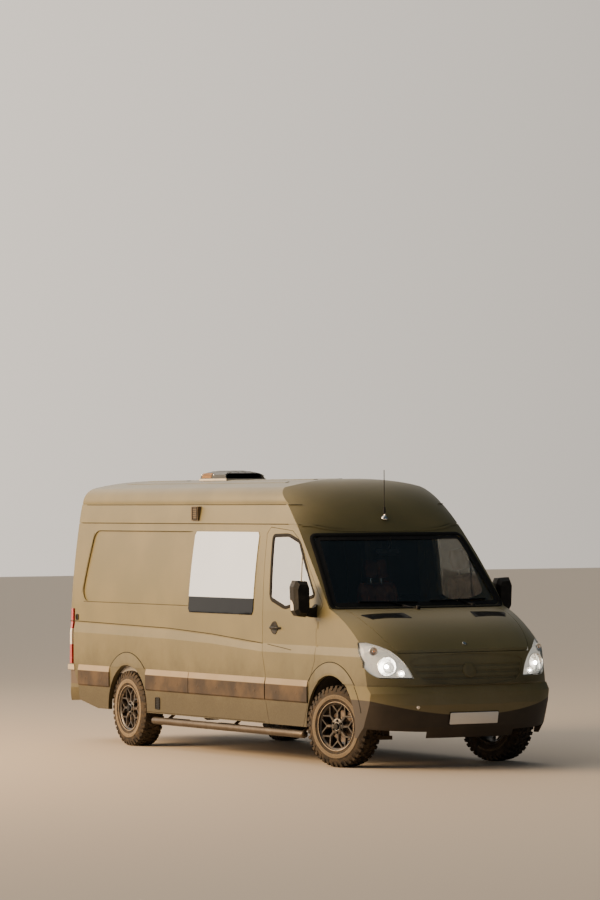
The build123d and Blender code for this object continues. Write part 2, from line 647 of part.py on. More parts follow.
def lug_ring(x, turn):
    # one shoulder's ring of lugs, from its groove to x
    pitch = FULL_TURN / LUG_COUNT
    # the tips of the two staggered rings come down to the tyre's radius
    tip = TYRE_RADIUS / math.cos(math.radians((0.5 - LUG_TIP) * pitch))
    points = []
    for k in range(LUG_COUNT):
        middle = turn + k * pitch
        for radius, share in ((CROWN, -LUG_FOOT), (tip, -LUG_TIP), (tip, LUG_TIP), (CROWN, LUG_FOOT)):
            points.append(polar(radius, middle + share * pitch))
    return extrude(wheel_plane(min(x, GROOVE_HALF)) * outline(points), x - GROOVE_HALF)


wheel_bore = extrude(wheel_plane(-HALF_TYRE) * Circle(RIM_RADIUS + 60), TYRE_WIDTH)


def tyre():
    body = faceted_ring([(-x, radius) for x, radius in TYRE_PROFILE] + list(reversed(TYRE_PROFILE)))
    for x in (1, -1):
        ring = lug_ring(HALF_TYRE - 18, -90) - wheel_bore
        body += ring if x > 0 else Rot(FULL_TURN / LUG_COUNT / 2, 0, 0) * mirrored(ring)
    return body


def spoke_window(points, turn):
    # points: radius and angle; the cutter runs along X
    return extrude(wheel_plane(0) * outline([polar(radius, angle + turn) for radius, angle in points]), RIM_HALF)


# Each spoke forks: a wide window between two spokes, and a small one in each fork
WIDE_WINDOW = [(84, 16), (126, 18), (192, 7.5), (192, -7.5), (126, -18), (84, -16)]
FORK_WINDOW = [(138, 0), (192, 10.5), (192, -10.5)]


def rim():
    seat = RIM_RADIUS - SEAT_GAP
    inside = seat - RIM_WALL
    bead = faceted_ring([
        (-RIM_HALF, seat), (-RIM_HALF, inside), (RIM_HALF - 24, inside), (RIM_HALF, seat - 8), (RIM_HALF, seat)])
    face = RIM_HALF - 14
    disc = extrude(wheel_plane(face - 26) * RegularPolygon(inside + 2, WHEEL_SIDES, major_radius=False), 26)
    turn = FULL_TURN / SPOKES
    for k in range(SPOKES):
        disc -= spoke_window(WIDE_WINDOW, (k + 0.5) * turn) + spoke_window(FORK_WINDOW, k * turn)
    hub = extrude(wheel_plane(face - 90) * Circle(74), 76) - extrude(wheel_plane(face - 90) * Circle(HUB_BORE), 76)
    cap = extrude(wheel_plane(face - 14) * Circle(62), 22)
    return bead + disc + hub + cap


def steered(shape, sign):
    pivot = Pos(sign * KINGPIN_X, station_y(FRONT_AXLE), 0)
    return pivot * Rot(0, 0, REST_STEER) * pivot.inverse() * shape


wheel_tyre = tyre()
wheel_rim = rim()
for sign, side in SIDES:
    facing = Rot(0, 0, 0) if sign > 0 else Rot(0, 0, 180)
    place = Pos(sign * WHEEL_X, station_y(REAR_AXLE), AXLE_HEIGHT) * facing
    node("rear_tyre_" + side, place * wheel_tyre)
    node("rear_rim_" + side, place * wheel_rim)
    place = Pos(sign * WHEEL_X, station_y(FRONT_AXLE), AXLE_HEIGHT) * facing
    node("front_tyre_" + side, steered(place * wheel_tyre, sign))
    node("front_rim_" + side, steered(place * wheel_rim, sign))
    knuckle = block(sign * 730, sign * 800, FRONT_AXLE - 60, FRONT_AXLE + 60, 287, 487)
    knuckle += cross_cylinder(HUB_BORE - RUNNING_FIT, sign * 790, sign * 900, FRONT_AXLE, AXLE_HEIGHT)
    node("knuckle_" + side, steered(knuckle, sign))

front_axle = block(-480, 480, FRONT_AXLE - 90, FRONT_AXLE + 90, 400, 500)
ARM_TOP = 287 - SEAT_GAP
for sign, side in SIDES:
    arm = outline([
        (sign * 400, FRONT_AXLE - 144), (sign * 400, FRONT_AXLE + 146),
        (sign * 800, FRONT_AXLE + 36), (sign * 800, FRONT_AXLE - 34)])
    front_axle += plan_prism(arm, 250, ARM_TOP)
    front_axle += block(sign * 400, sign * 460, FRONT_AXLE - 90, FRONT_AXLE + 90, 250, 420)
node("front_axle", front_axle)

rear_axle = cross_cylinder(55, -700, 700, REAR_AXLE, AXLE_HEIGHT)
rear_axle += cross_cylinder(150, -60, 60, REAR_AXLE, AXLE_HEIGHT)
for sign, side in SIDES:
    rear_axle += cross_cylinder(100, sign * 60, sign * 130, REAR_AXLE, AXLE_HEIGHT)
    rear_axle += cross_cylinder(HUB_BORE - RUNNING_FIT, sign * 690, sign * 900, REAR_AXLE, AXLE_HEIGHT)
    spring = make_face([
        ThreePointArc((REAR_AXLE - 679, 486), (REAR_AXLE, 425), (REAR_AXLE + 681, 486)),
        Line((REAR_AXLE + 681, 486), (REAR_AXLE + 681, 500)),
        ThreePointArc((REAR_AXLE + 681, 500), (REAR_AXLE, 444), (REAR_AXLE - 679, 500)),
        Line((REAR_AXLE - 679, 500), (REAR_AXLE - 679, 486)),
    ])
    rear_axle += side_prism(spring, sign * (RAIL_X - 30), sign * (RAIL_X + 30))
node("rear_axle", rear_axle)

tank = block(540, 900, 1750, 2650, 340, FLOOR_TOP - FLOOR_THICK)
node("fuel_tank", chamfer(tank.edges().filter_by(Axis.Y), 40))
exhaust = long_cylinder(28, -250, 1250, 4650, 415) + long_cylinder(80, -250, 2950, 3650, 415)
for station in (1900, 2700, 3800):
    exhaust += block(-262, -238, station - 10, station + 10, 420, 530)
node("exhaust", exhaust)

# Cab: dashboard, steering wheel and two seats
DASH = [
    (1185, 1020), (1500, 1050), (1600, 1290), (1560, 1385), (1480, 1425), (1330, 1450), (1185, 1430),
]
COLUMN_TILT = 35.0
WHEEL_CENTRE = (-420, 1760, 1290)
COLUMN_RADIUS = 30.0
HUB_DEPTH = 28.0
BINNACLE = [(1440, 1400), (1600, 1330), (1590, 1470), (1450, 1520)]
RING_RADIUS = 190.0
RING_GRIP = 16.0
wheel_place = Pos(WHEEL_CENTRE[0], station_y(WHEEL_CENTRE[1]), WHEEL_CENTRE[2]) * Rot(-90 + COLUMN_TILT, 0, 0)
dash = side_prism(outline(DASH), -870, 870)
dash += side_prism(outline(BINNACLE, 15), WHEEL_CENTRE[0] - 160, WHEEL_CENTRE[0] + 160)
dash += block(-110, 110, 1420, 1560, 900, 1330)
column_length = 262.0
dash += wheel_place * Pos(0, 0, -HUB_DEPTH - SEAT_GAP - column_length / 2) * Cylinder(COLUMN_RADIUS, column_length)
node("dashboard", dash)
# The grip is eight sided in section
corner = RING_GRIP * 0.924
side_half = RING_GRIP * 0.383
grip = [
    (corner, side_half), (side_half, corner), (-side_half, corner), (-corner, side_half),
    (-corner, -side_half), (-side_half, -corner), (side_half, -corner), (corner, -side_half),
]
steer = revolve(make_face(Plane.XZ * Polyline(*[(RING_RADIUS + x, z) for x, z in grip], close=True)), Axis.Z)
steer += Pos(0, 0, -5) * Cylinder(50, 2 * (HUB_DEPTH - 5))
for angle in (0, 120, 240):
    steer += Rot(0, 0, angle - 90) * Pos(110, 0, 0) * Box(160, 36, 14)
node("steering_wheel", wheel_place * steer)

# One seat in side view: base, cushion, back and head rest
SEAT_X = 430.0
SEAT_BASE = [(1960, FLOOR_TOP), (2380, FLOOR_TOP), (2350, 960), (1990, 960)]
SEAT_CUSHION = [
    (2440, 960, False), (2440, 1075, False), (2150, 1085, True), (1900, 1115, False), (1872, 1040, True),
    (1900, 960, False),
]
SEAT_BACK = [
    (2400, 1040, False), (2500, 1000, False), (2610, 1340, True), (2660, 1690, False), (2620, 1725, True),
    (2560, 1700, False), (2480, 1380, True),
]
HEAD_REST = [(2580, 1740), (2665, 1740), (2695, 1890), (2670, 1935), (2625, 1935), (2600, 1890)]
seats = []
for sign, side in SIDES:
    x = sign * SEAT_X
    seat = side_prism(outline(SEAT_BASE), x - 210, x + 210)
    seat += side_prism(inset_face(SEAT_CUSHION, 0), x - 250, x + 250)
    seat += side_prism(inset_face(SEAT_BACK, 0), x - 240, x + 240)
    seat += side_prism(outline(HEAD_REST, 12), x - 135, x + 135)
    for post in (-60, 60):
        seat += block(x + post - 7, x + post + 7, 2612, 2626, 1690, 1760)
    seats.append(seat)
node("seats", *seats)

# Living space: galley along the right wall and a raised bed across the rear
WORKTOP = 1395.0
GALLEY_WALL = -915.0
galley = block(GALLEY_WALL, -450, 2830, 3900, FLOOR_TOP + 80, WORKTOP)
galley += block(GALLEY_WALL, -500, 2850, 3880, FLOOR_TOP, FLOOR_TOP + 80)
node("galley_unit", galley)
BED_FRONT = 5350.0
BED_BACK = 6520.0
BED_TOP = 1210.0
bed = block(-895, 895, BED_FRONT, BED_BACK, BED_TOP - 30, BED_TOP)
for x in (-660, 0, 630):
    for front in (BED_FRONT, BED_BACK - 40):
        bed += block(x, x + 30, front, front + 40, FLOOR_TOP, BED_TOP - 20)
node("bed_platform", bed)
node("mattress", block(-885, 885, BED_FRONT + 10, BED_BACK - 10, BED_TOP + SEAT_GAP, BED_TOP + 120))

# Roof fittings. The vent is a frame with a domed lid that hinges at its front edge.
VENT_STATION = 4850.0
VENT_HALF = 230.0
VENT_LENGTH = 600.0
VENT_RIM = 2745.0
LID_TOP = 2828.0
vent_front = VENT_STATION - VENT_LENGTH / 2
vent_back = VENT_STATION + VENT_LENGTH / 2
frame = block(-VENT_HALF, VENT_HALF, vent_front, vent_back, 2690, VENT_RIM)
frame -= outside
frame -= block(-VENT_HALF + 50, VENT_HALF - 50, vent_front + 60, vent_back - 60, 2600, 2800)
node("roof_vent_base", frame)

LID_WALL = 8.0
LID_FOOT = VENT_RIM + SEAT_GAP
LID_PROFILE = [
    (vent_front + 8, LID_FOOT), (vent_front + 60, 2800), (vent_front + 190, LID_TOP),
    (vent_back - 130, LID_TOP), (vent_back - 30, 2800), (vent_back - 12, LID_FOOT),
]
LID_ARCH = [
    (VENT_HALF - 6, LID_FOOT), (VENT_HALF - 12, 2785), (160, 2812), (70, LID_TOP),
    (-70, LID_TOP), (-160, 2812), (-VENT_HALF + 12, 2785), (-VENT_HALF + 6, LID_FOOT),
]


def lid_form(inset, low):
    along = [(s, low if z == LID_FOOT else z) for s, z in LID_PROFILE]
    across = [(x, low if z == LID_FOOT else z) for x, z in LID_ARCH]
    form = side_prism(outline(along), -VENT_HALF, VENT_HALF) & front_prism(outline(across), vent_front, vent_back)
    wide = (VENT_HALF - inset) / VENT_HALF
    long = (VENT_LENGTH / 2 - inset) / (VENT_LENGTH / 2)
    return Pos(0, station_y(VENT_STATION), -inset) * scale(Pos(0, -station_y(VENT_STATION), 0) * form, (wide, long, 1))


lid = lid_form(0, LID_FOOT) - lid_form(LID_WALL, LID_FOOT - 20)
# the mouth at its rear end, with slats across it
lid -= block(-VENT_HALF + 34, VENT_HALF - 34, vent_back - 60, vent_back, 2752, 2782)
for height in (2759, 2770):
    lid += block(-VENT_HALF + 30, VENT_HALF - 30, vent_back - 34, vent_back - 22, height, height + 4)
node("roof_vent_lid", lid)

AERIAL_STATION = 1690.0
aerial = Pos(0, station_y(AERIAL_STATION), 2375) * Cylinder(12, 150)
aerial += Pos(0, station_y(AERIAL_STATION), 2610) * Cylinder(4, 400)
aerial -= outside
side_vent = block(-912, -840, 3870, 4015, 2322, 2463) - outside
node("roof_fittings", aerial.solids().sort_by(Axis.Z)[-1], side_vent)
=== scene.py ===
import math
import bmesh
import bpy
from mathutils import Matrix, Vector
from mathutils.bvhtree import BVHTree


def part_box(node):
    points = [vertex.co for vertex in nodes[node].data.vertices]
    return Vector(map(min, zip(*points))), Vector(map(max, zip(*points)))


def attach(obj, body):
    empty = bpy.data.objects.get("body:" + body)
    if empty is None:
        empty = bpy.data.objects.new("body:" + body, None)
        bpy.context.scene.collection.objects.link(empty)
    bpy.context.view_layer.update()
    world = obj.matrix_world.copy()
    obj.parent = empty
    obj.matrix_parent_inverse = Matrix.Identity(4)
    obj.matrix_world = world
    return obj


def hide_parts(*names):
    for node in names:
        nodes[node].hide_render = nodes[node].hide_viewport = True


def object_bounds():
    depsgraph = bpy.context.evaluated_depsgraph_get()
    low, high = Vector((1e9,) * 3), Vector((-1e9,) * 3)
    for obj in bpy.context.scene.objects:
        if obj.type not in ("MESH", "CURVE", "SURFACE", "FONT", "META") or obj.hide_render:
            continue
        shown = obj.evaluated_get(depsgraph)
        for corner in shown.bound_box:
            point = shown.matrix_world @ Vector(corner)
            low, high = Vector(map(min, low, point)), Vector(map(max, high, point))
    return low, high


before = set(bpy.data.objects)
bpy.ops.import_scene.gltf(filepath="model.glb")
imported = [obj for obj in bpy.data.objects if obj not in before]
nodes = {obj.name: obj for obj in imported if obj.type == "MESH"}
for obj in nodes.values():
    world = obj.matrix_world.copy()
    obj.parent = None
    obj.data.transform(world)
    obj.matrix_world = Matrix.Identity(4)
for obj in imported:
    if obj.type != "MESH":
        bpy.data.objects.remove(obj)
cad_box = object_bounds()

SIDES = ((-1, "right"), (1, "left"))

# The camera stands low and far off, ahead of the van and to its right, and looks
# back along that side at about 29 degrees.
CAMERA_PLACE = (-21.138, -38.874, 2.572)
camera_data = bpy.data.cameras.new("camera")
camera_data.sensor_width = 36
camera_data.lens = 176.28
camera = bpy.data.objects.new("camera", camera_data)
yaw = math.radians(28.587)
tilt_up = math.radians(0.585)
roll = math.radians(-0.339)
turn = Matrix.Rotation(-yaw, 4, "Z") @ Matrix.Rotation(math.pi / 2 + tilt_up, 4, "X")
turn = turn @ Matrix.Rotation(roll, 4, "Z")
camera.matrix_world = Matrix.Translation(CAMERA_PLACE) @ turn
bpy.context.collection.objects.link(camera)
bpy.context.scene.camera = camera

# The stage is a wide pale floor under soft studio light. The room is brighter behind
# the van's right side, with a warm key there and a weak fill ahead of the van.


def feed(tree, socket, value):
    # links or sets a socket; a colour may leave out its alpha
    if isinstance(value, bpy.types.NodeSocket):
        tree.links.new(value, socket)
    elif socket.type == "RGBA" and len(value) == 3:
        socket.default_value = (*value, 1)
    else:
        socket.default_value = value


def add(tree, kind, *values, **named):
    # adds a shader node; names with a capital are its sockets, the others its settings
    node = tree.nodes.new("ShaderNode" + kind)
    for key, value in named.items():
        if key[0].islower():
            setattr(node, key, value)
    for key, value in named.items():
        if not key[0].islower():
            feed(tree, node.inputs[key.replace("_", " ")], value)
    for socket, value in zip(node.inputs, values):
        feed(tree, socket, value)
    return node


def calc(tree, operation, *values):
    return add(tree, "Math", *values, operation=operation).outputs[0]


def blend_colours(tree, factor, low, high):
    node = add(tree, "Mix", data_type="RGBA")
    feed(tree, node.inputs[0], factor)
    feed(tree, node.inputs[6], low)
    feed(tree, node.inputs[7], high)
    return node.outputs[2]


def smooth_step(tree, value, low, high):
    # 0 below low and 1 above high, or the other way round where low is the greater
    node = add(tree, "MapRange", interpolation_type="SMOOTHSTEP")
    for label, number in (("Value", value), ("From Min", low), ("From Max", high)):
        feed(tree, node.inputs[label], number)
    return node.outputs[0]


def new_finish(name, **plain):
    material = bpy.data.materials.new(name)
    material.use_nodes = True
    shader = material.node_tree.nodes["Principled BSDF"]
    for key, value in plain.items():
        feed(material.node_tree, shader.inputs[key.replace("_", " ")], value)
    return material, material.node_tree, shader


floor_paint = new_finish("pale floor", Base_Color=(0.50, 0.43, 0.35), Roughness=0.8)[0]
floor_mesh = bpy.data.meshes.new("floor")
FLOOR_REACH = 90
floor_corners = [(x * FLOOR_REACH, y * FLOOR_REACH, 0) for x, y in ((-1, -1), (1, -1), (1, 1), (-1, 1))]
floor_mesh.from_pydata(floor_corners, [], [(0, 1, 2, 3)])
floor_mesh.materials.append(floor_paint)
floor = bpy.data.objects.new("floor", floor_mesh)
bpy.context.collection.objects.link(floor)
world = bpy.data.worlds.new("studio")
world.use_nodes = True
sky = world.node_tree
way = add(sky, "TexCoord").outputs["Generated"]
facing = add(sky, "VectorMath", way, (-0.62, 0.76, 0.16), operation="DOT_PRODUCT").outputs["Value"]
glow = blend_colours(sky, smooth_step(sky, facing, -0.15, 1.0), (0.052, 0.072, 0.088), (2.05, 1.83, 1.58))
feed(sky, sky.nodes["Background"].inputs["Color"], glow)
bpy.context.scene.world = world


def soft_light(name, place, target, size, power, colour):
    data = bpy.data.lights.new(name, "AREA")
    data.shape = "RECTANGLE"
    data.size, data.size_y = size
    data.energy = power
    data.color = colour
    lamp = bpy.data.objects.new(name, data)
    lamp.location = place
    lamp.rotation_euler = (Vector(target) - Vector(place)).to_track_quat("-Z", "Y").to_euler()
    bpy.context.collection.objects.link(lamp)


soft_light("key", (-13, 5, 6), (0, 1.0, 1.4), (11, 4), 5000, (1.0, 0.66, 0.34))
soft_light("fill", (3, -16, 6), (0, -2, 1), (8, 5), 90, (0.74, 0.90, 1.0))
soft_light("back", (3, 14, 8), (0, 0, 1.5), (10, 5), 120, (1.0, 0.92, 0.82))


# Painted body: pressed steel panels sprayed in a matte olive green. The coat has a
# fine orange peel, and a dark brown film, painted shade mottled like road mud, darkens it towards the sills.


def object_place(tree):
    return add(tree, "TexCoord").outputs["Object"]


def position(tree, axis):
    return add(tree, "SeparateXYZ", object_place(tree)).outputs[axis]


def noise(tree, scale, detail=2.0, **named):
    return add(tree, "TexNoise", Vector=object_place(tree), Scale=scale, Detail=detail, **named).outputs[0]


def effect_group(name, inputs, outputs):
    # inputs: name, socket kind and usual value; outputs: name and socket kind
    group = bpy.data.node_groups.new(name, "ShaderNodeTree")
    for label, kind, value in inputs:
        socket = group.interface.new_socket(label, in_out="INPUT", socket_type="NodeSocket" + kind)
        socket.default_value = value
    for label, kind in outputs:
        group.interface.new_socket(label, in_out="OUTPUT", socket_type="NodeSocket" + kind)
    return group, group.nodes.new("NodeGroupInput").outputs, group.nodes.new("NodeGroupOutput").inputs


def use_group(tree, group, **named):
    node = tree.nodes.new("ShaderNodeGroup")
    node.node_tree = group
    for key, value in named.items():
        feed(tree, node.inputs[key.replace("_", " ")], value)
    return node.outputs


def raise_surface(tree, shader, height, distance, strength=1.0):
    bump = add(tree, "Bump", Strength=strength, Distance=distance, Height=height)
    tree.links.new(bump.outputs[0], shader.inputs["Normal"])


def two_tones(tree, shader, factor, low, high):
    # the colour runs from low to high as the factor goes from 0 to 1
    feed(tree, shader.inputs["Base Color"], blend_colours(tree, factor, low, high))


def roughen(tree, shader, value, span, base):
    # the roughness is the value times the span, plus the base
    feed(tree, shader.inputs["Roughness"], calc(tree, "MULTIPLY_ADD", value, span, base))


def noise_finish(name, scale, detail, low, high, rough=None, raised=None, **plain):
    # one noise mixes two tones, sets the roughness (span, base) and the bump (distance, strength)
    material, tree, shader = new_finish(name, **plain)
    value = noise(tree, scale, detail)
    two_tones(tree, shader, value, low, high)
    if rough:
        roughen(tree, shader, value, *rough)
    if raised:
        raise_surface(tree, shader, value, *raised)
    return material


def dress(material, *names):
    for name in names:
        nodes[name].data.materials.clear()
        nodes[name].data.materials.append(material)


road_dust, into, out = effect_group(
    "road dust",
    (("Clean", "Color", (0.1, 0.1, 0.1, 1)), ("Dust", "Color", (0.30, 0.24, 0.17, 1)), ("Top", "Float", 0.8),
     ("Depth", "Float", 0.5), ("Amount", "Float", 0.6), ("Scale", "Float", 4.0)),
    (("Color", "Color"), ("Mask", "Float")))
height = position(road_dust, 2)
clouds = noise(road_dust, into["Scale"], 6.0, Roughness=0.65)
specks = noise(road_dust, 85.0, 3.0)
swing = calc(road_dust, "MULTIPLY", calc(road_dust, "SUBTRACT", clouds, 0.5), 0.5)
wavy = calc(road_dust, "ADD", height, swing)
lower = smooth_step(road_dust, wavy, into["Top"], calc(road_dust, "SUBTRACT", into["Top"], into["Depth"]))
broken = calc(road_dust, "MULTIPLY", lower, calc(road_dust, "MULTIPLY_ADD", specks, 0.4, 0.7))
mask = calc(road_dust, "MULTIPLY", broken, into["Amount"])
feed(road_dust, out["Mask"], mask)
feed(road_dust, out["Color"], blend_colours(road_dust, mask, into["Clean"], into["Dust"]))

PAINT = (0.124, 0.107, 0.044)
PAINT_FADED = (0.152, 0.129, 0.054)
# painted shade: the dark brown film that darkens the paint towards the sills, mottled like mud
PAINTED_LOW_SHADE = (0.030, 0.023, 0.011)
# the side strips' heights, which the band on the rear bumper carries on
STRIP_FOOT = 0.600
STRIP_BEVEL = 0.746
STRIP_TOP = 0.800


def paint_finish(name, shade_top, band=False):
    material, tree, shader = new_finish(name, Specular_IOR_Level=0.42, Coat_Roughness=0.35)
    patches = noise(tree, 1.7, 5.0)
    colour = blend_colours(tree, smooth_step(tree, patches, 0.35, 0.7), PAINT, PAINT_FADED)
    # painted shade: below the given height the film darkens the paint
    dusty = use_group(tree, road_dust, Clean=colour, Dust=PAINTED_LOW_SHADE, Top=shade_top, Depth=0.75, Amount=0.9,
                      Scale=3.0)
    colour = dusty["Color"]
    if band:
        height = position(tree, 2)
        strip = calc(tree, "MULTIPLY", smooth_step(tree, height, STRIP_FOOT - 0.002, STRIP_FOOT + 0.002),
                     smooth_step(tree, height, STRIP_TOP + 0.002, STRIP_TOP - 0.002))
        # painted highlight: the band's bevelled top is coloured pale, the face below it dark
        bevel = smooth_step(tree, height, STRIP_BEVEL - 0.004, STRIP_BEVEL + 0.004)
        tone_mix = blend_colours(tree, bevel, (0.075, 0.052, 0.032), (0.36, 0.31, 0.23))
        colour = blend_colours(tree, strip, colour, tone_mix)
    feed(tree, shader.inputs["Base Color"], colour)
    roughen(tree, shader, dusty["Mask"], 0.3, 0.40)
    feed(tree, shader.inputs["Coat Weight"], calc(tree, "MULTIPLY_ADD", dusty["Mask"], -0.2, 0.16))
    peel = noise(tree, 240.0)
    raise_surface(tree, shader, peel, 0.0006, 0.25)
    return material


paint = paint_finish("matte olive paint", 1.20)
dress(
    paint, "body_side_left", "body_side_right", "sliding_door", "wing_left", "wing_right", "bonnet",
    "cab_door_left", "cab_door_right", "rear_door_left", "rear_door_right", "grille", "roof_panel")

# Bumpers: painted plastic mouldings clipped over steel beams. The front one's lower
# half is bare dark plastic, and the split line rises towards the wheels.
bumper_finish, tree, shader = new_finish("painted and bare bumper plastic", Specular_IOR_Level=0.3)
across = position(tree, 0)
rise = calc(tree, "MULTIPLY_ADD", calc(tree, "MULTIPLY", across, across), -0.15, position(tree, 2))
patches = noise(tree, 6.0, 6.0)
bare = smooth_step(tree, rise, 0.512, 0.506)
dusty = use_group(tree, road_dust, Clean=PAINT, Top=0.95, Depth=0.5, Amount=0.25, Scale=3.0)
plastic = blend_colours(tree, patches, (0.018, 0.015, 0.012), (0.050, 0.038, 0.027))
two_tones(tree, shader, bare, dusty["Color"], plastic)
roughen(tree, shader, patches, 0.2, 0.42)
peel = noise(tree, 200.0)
raise_surface(tree, shader, peel, 0.0006, 0.3)
dress(bumper_finish, "front_bumper")
dress(paint_finish("olive paint with a grey band", 1.05, True), "rear_bumper")

# Arch edges: each wheel arch ends in a rolled steel flare. A thin black bead in the
# rubber finish runs round the flare where it meets the flat side, as painted shade of the flare's shadow
# line.
NOSE = cad_box[0].y
FRONT_AXLE = 1.004
REAR_AXLE = 5.329
AXLE_HEIGHT = 0.3875


def tree_of(*names):
    points = []
    faces = []
    for name in names:
        mesh = nodes[name].data
        start = len(points)
        points += [vertex.co.copy() for vertex in mesh.vertices]
        faces += [[start + i for i in polygon.vertices] for polygon in mesh.polygons]
    return BVHTree.FromPolygons(points, faces)


outer_skin = tree_of(
    "body_side_left", "body_side_right", "sliding_door", "wing_left", "wing_right", "bonnet", "cab_door_left",
    "cab_door_right", "rear_door_left", "rear_door_right", "grille", "roof_panel", "front_bumper",
    "windscreen", "side_glass", "cab_glass_left", "cab_glass_right", "headlamps", "tail_lamps",
    "cowl_panel", "rear_bumper")
REACH = 3.0
PROBE = 0.009
NEARER = 0.004


def touch(point, direction, surface=outer_skin):
    # where a ray along the direction meets the surface; four rays beside it, which count where they
    # meet it clearly nearer, step over the shut lines
    direction = Vector(direction).normalized()
    across = direction.orthogonal().normalized() * PROBE
    down = direction.cross(across)
    start = Vector(point) - direction * REACH
    best = None
    for shift in (Vector(), across, -across, down, -down):
        place, normal, index, distance = surface.ray_cast(start + shift, direction)
        if place is not None and (best is None or distance < best[0] - NEARER):
            best = (distance, normal)
    if best is None:
        return Vector(point), -direction
    return start + direction * best[0], best[1]


def side_points(sign, rows):
    # rows: station behind the nose and height, in metres
    return [Vector((sign, NOSE + station, height)) for station, height in rows]


def rounded(corners, radius, closed=True, steps=5):
    corners = [Vector(c) for c in corners]
    path = []
    count = len(corners)
    for i, corner in enumerate(corners):
        if not closed and i in (0, count - 1):
            path.append(corner)
            continue
        before = corners[i - 1] - corner
        after = corners[(i + 1) % count] - corner
        reach = min(radius, before.length * 0.45, after.length * 0.45)
        first = corner + before.normalized() * reach
        last = corner + after.normalized() * reach
        for k in range(steps + 1):
            t = k / steps
            path.append(first * (1 - t) ** 2 + corner * 2 * t * (1 - t) + last * t * t)
    return path


def even(path, step, closed=True):
    # the same path with no run longer than the step
    fine = []
    runs = list(zip(path, path[1:] + path[:1])) if closed else list(zip(path, path[1:]))
    for start, end in runs:
        count = max(1, math.ceil((end - start).length / step))
        fine += [start.lerp(end, k / count) for k in range(count)]
    return fine if closed else fine + [path[-1]]


def new_piece(name, points_and_faces, material, body="body", sharp=40.0):
    points, faces = points_and_faces
    mesh = bpy.data.meshes.new(name)
    mesh.from_pydata([tuple(p) for p in points], [], faces)
    mesh.validate()
    mesh.materials.append(material)
    mesh.shade_smooth()
    mesh.set_sharp_from_angle(angle=math.radians(sharp))
    piece = bpy.data.objects.new(name, mesh)
    bpy.context.collection.objects.link(piece)
    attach(piece, body)
    return piece


def bands(rows, count, loop=False):
    # the faces between rows of points, each a ring of count; a loop joins the last row to the first
    faces = []
    for row in range(rows if loop else rows - 1):
        low = row * count
        high = (row + 1) % rows * count
        for k in range(count):
            after = (k + 1) % count
            faces.append((low + k, low + after, high + after, high + k))
    return faces


def row_face(row, count):
    return tuple(row * count + k for k in range(count))


def bead_mesh(path, direction, section, closed=True, step=0.04, surface=outer_skin):
    # a section of (across, proud) points swept along a path that is laid on the skin
    laid = [touch(p, direction, surface) for p in even([Vector(p) for p in path], step, closed)]
    points = []
    count = len(laid)
    width = len(section)
    for i, (place, normal) in enumerate(laid):
        before = laid[i - 1][0] if closed or i else place
        after = laid[(i + 1) % count][0] if closed or i < count - 1 else place
        across = normal.cross((after - before).normalized()).normalized()
        points += [place + across * a + normal * h for a, h in section]
    faces = []
    for i in range(count if closed else count - 1):
        for k in range(width - 1):
            a = i * width + k
            b = (i + 1) % count * width + k
            faces.append((a, b, b + 1, a + 1))
    if not closed:
        faces += [row_face(0, width)[::-1], row_face(count - 1, width)]
    return points, faces


def raised_section(width, height, sink=0.002):
    half = width / 2
    return ((-half, -sink), (-half, height * 0.5), (-half * 0.6, height), (half * 0.6, height),
            (half, height * 0.5), (half, -sink))


def side_bead(sign, rows, width, proud, step=0.04, surface=outer_skin):
    # an open raised line along a side of the van
    return bead_mesh(side_points(sign, rows), (-sign, 0, 0), raised_section(width, proud), False, step,
                     surface)


def rubber_finish(name, colour, roughness):
    material, tree, shader = new_finish(name, Specular_IOR_Level=0.12)
    specks = noise(tree, 60.0, 4.0)
    grey = tuple(c * 1.6 + 0.006 for c in colour)
    two_tones(tree, shader, smooth_step(tree, specks, 0.4, 0.85), colour, grey)
    roughen(tree, shader, specks, 0.25, roughness)
    raise_surface(tree, shader, specks, 0.0005, 0.4)
    return material


black_rubber = rubber_finish("black seal rubber", (0.006, 0.006, 0.006), 0.55)
ARCHES = (("front", FRONT_AXLE, 0.606, 14, 151), ("rear", REAR_AXLE, 0.576, 46, 134))
for sign, side in SIDES:
    for label, axle, radius, first, last in ARCHES:
        rows = []
        for k in range(25):
            angle = math.radians(first + (last - first) * k / 24)
            rows.append((axle - radius * math.cos(angle), AXLE_HEIGHT + radius * math.sin(angle)))
        # painted shade: a thin black bead along each flare's outer edge
        new_piece(f"{label}_arch_shadow_bead_{side}", side_bead(sign, rows, 0.007, 0.003), black_rubber)

# Windscreen: one laminated pane, bonded into the body with a black rubber frame. Its
# edge has a black printed border that hides the adhesive.


def glass_finish(name, tint, roughness, **plain):
    material, tree, shader = new_finish(name, IOR=1.5, Transmission_Weight=1.0, **plain)
    film = noise(tree, 2.5, 5.0)
    dusty = use_group(tree, road_dust, Clean=tint, Dust=(0.55, 0.50, 0.42), Top=2.1, Depth=0.9, Amount=0.10,
                      Scale=2.0)
    feed(tree, shader.inputs["Base Color"], dusty["Color"])
    roughen(tree, shader, film, 0.03, roughness)
    return material


def front_points(rows):
    # rows: distance from the middle plane and height
    return [Vector((x, NOSE, height)) for x, height in rows]


def patch_mesh(path, direction, proud, rings=6, surface=outer_skin):
    # a thin sheet that fills the path and lies on the skin, moved along its normal
    middle = sum(path, Vector()) / len(path)
    points = []
    for ring in range(rings + 1):
        for corner in path:
            place, normal = touch(middle.lerp(corner, max(ring, 0.02) / rings), direction, surface)
            points.append(place + normal * proud)
    return points, [row_face(0, len(path))] + bands(rings + 1, len(path))


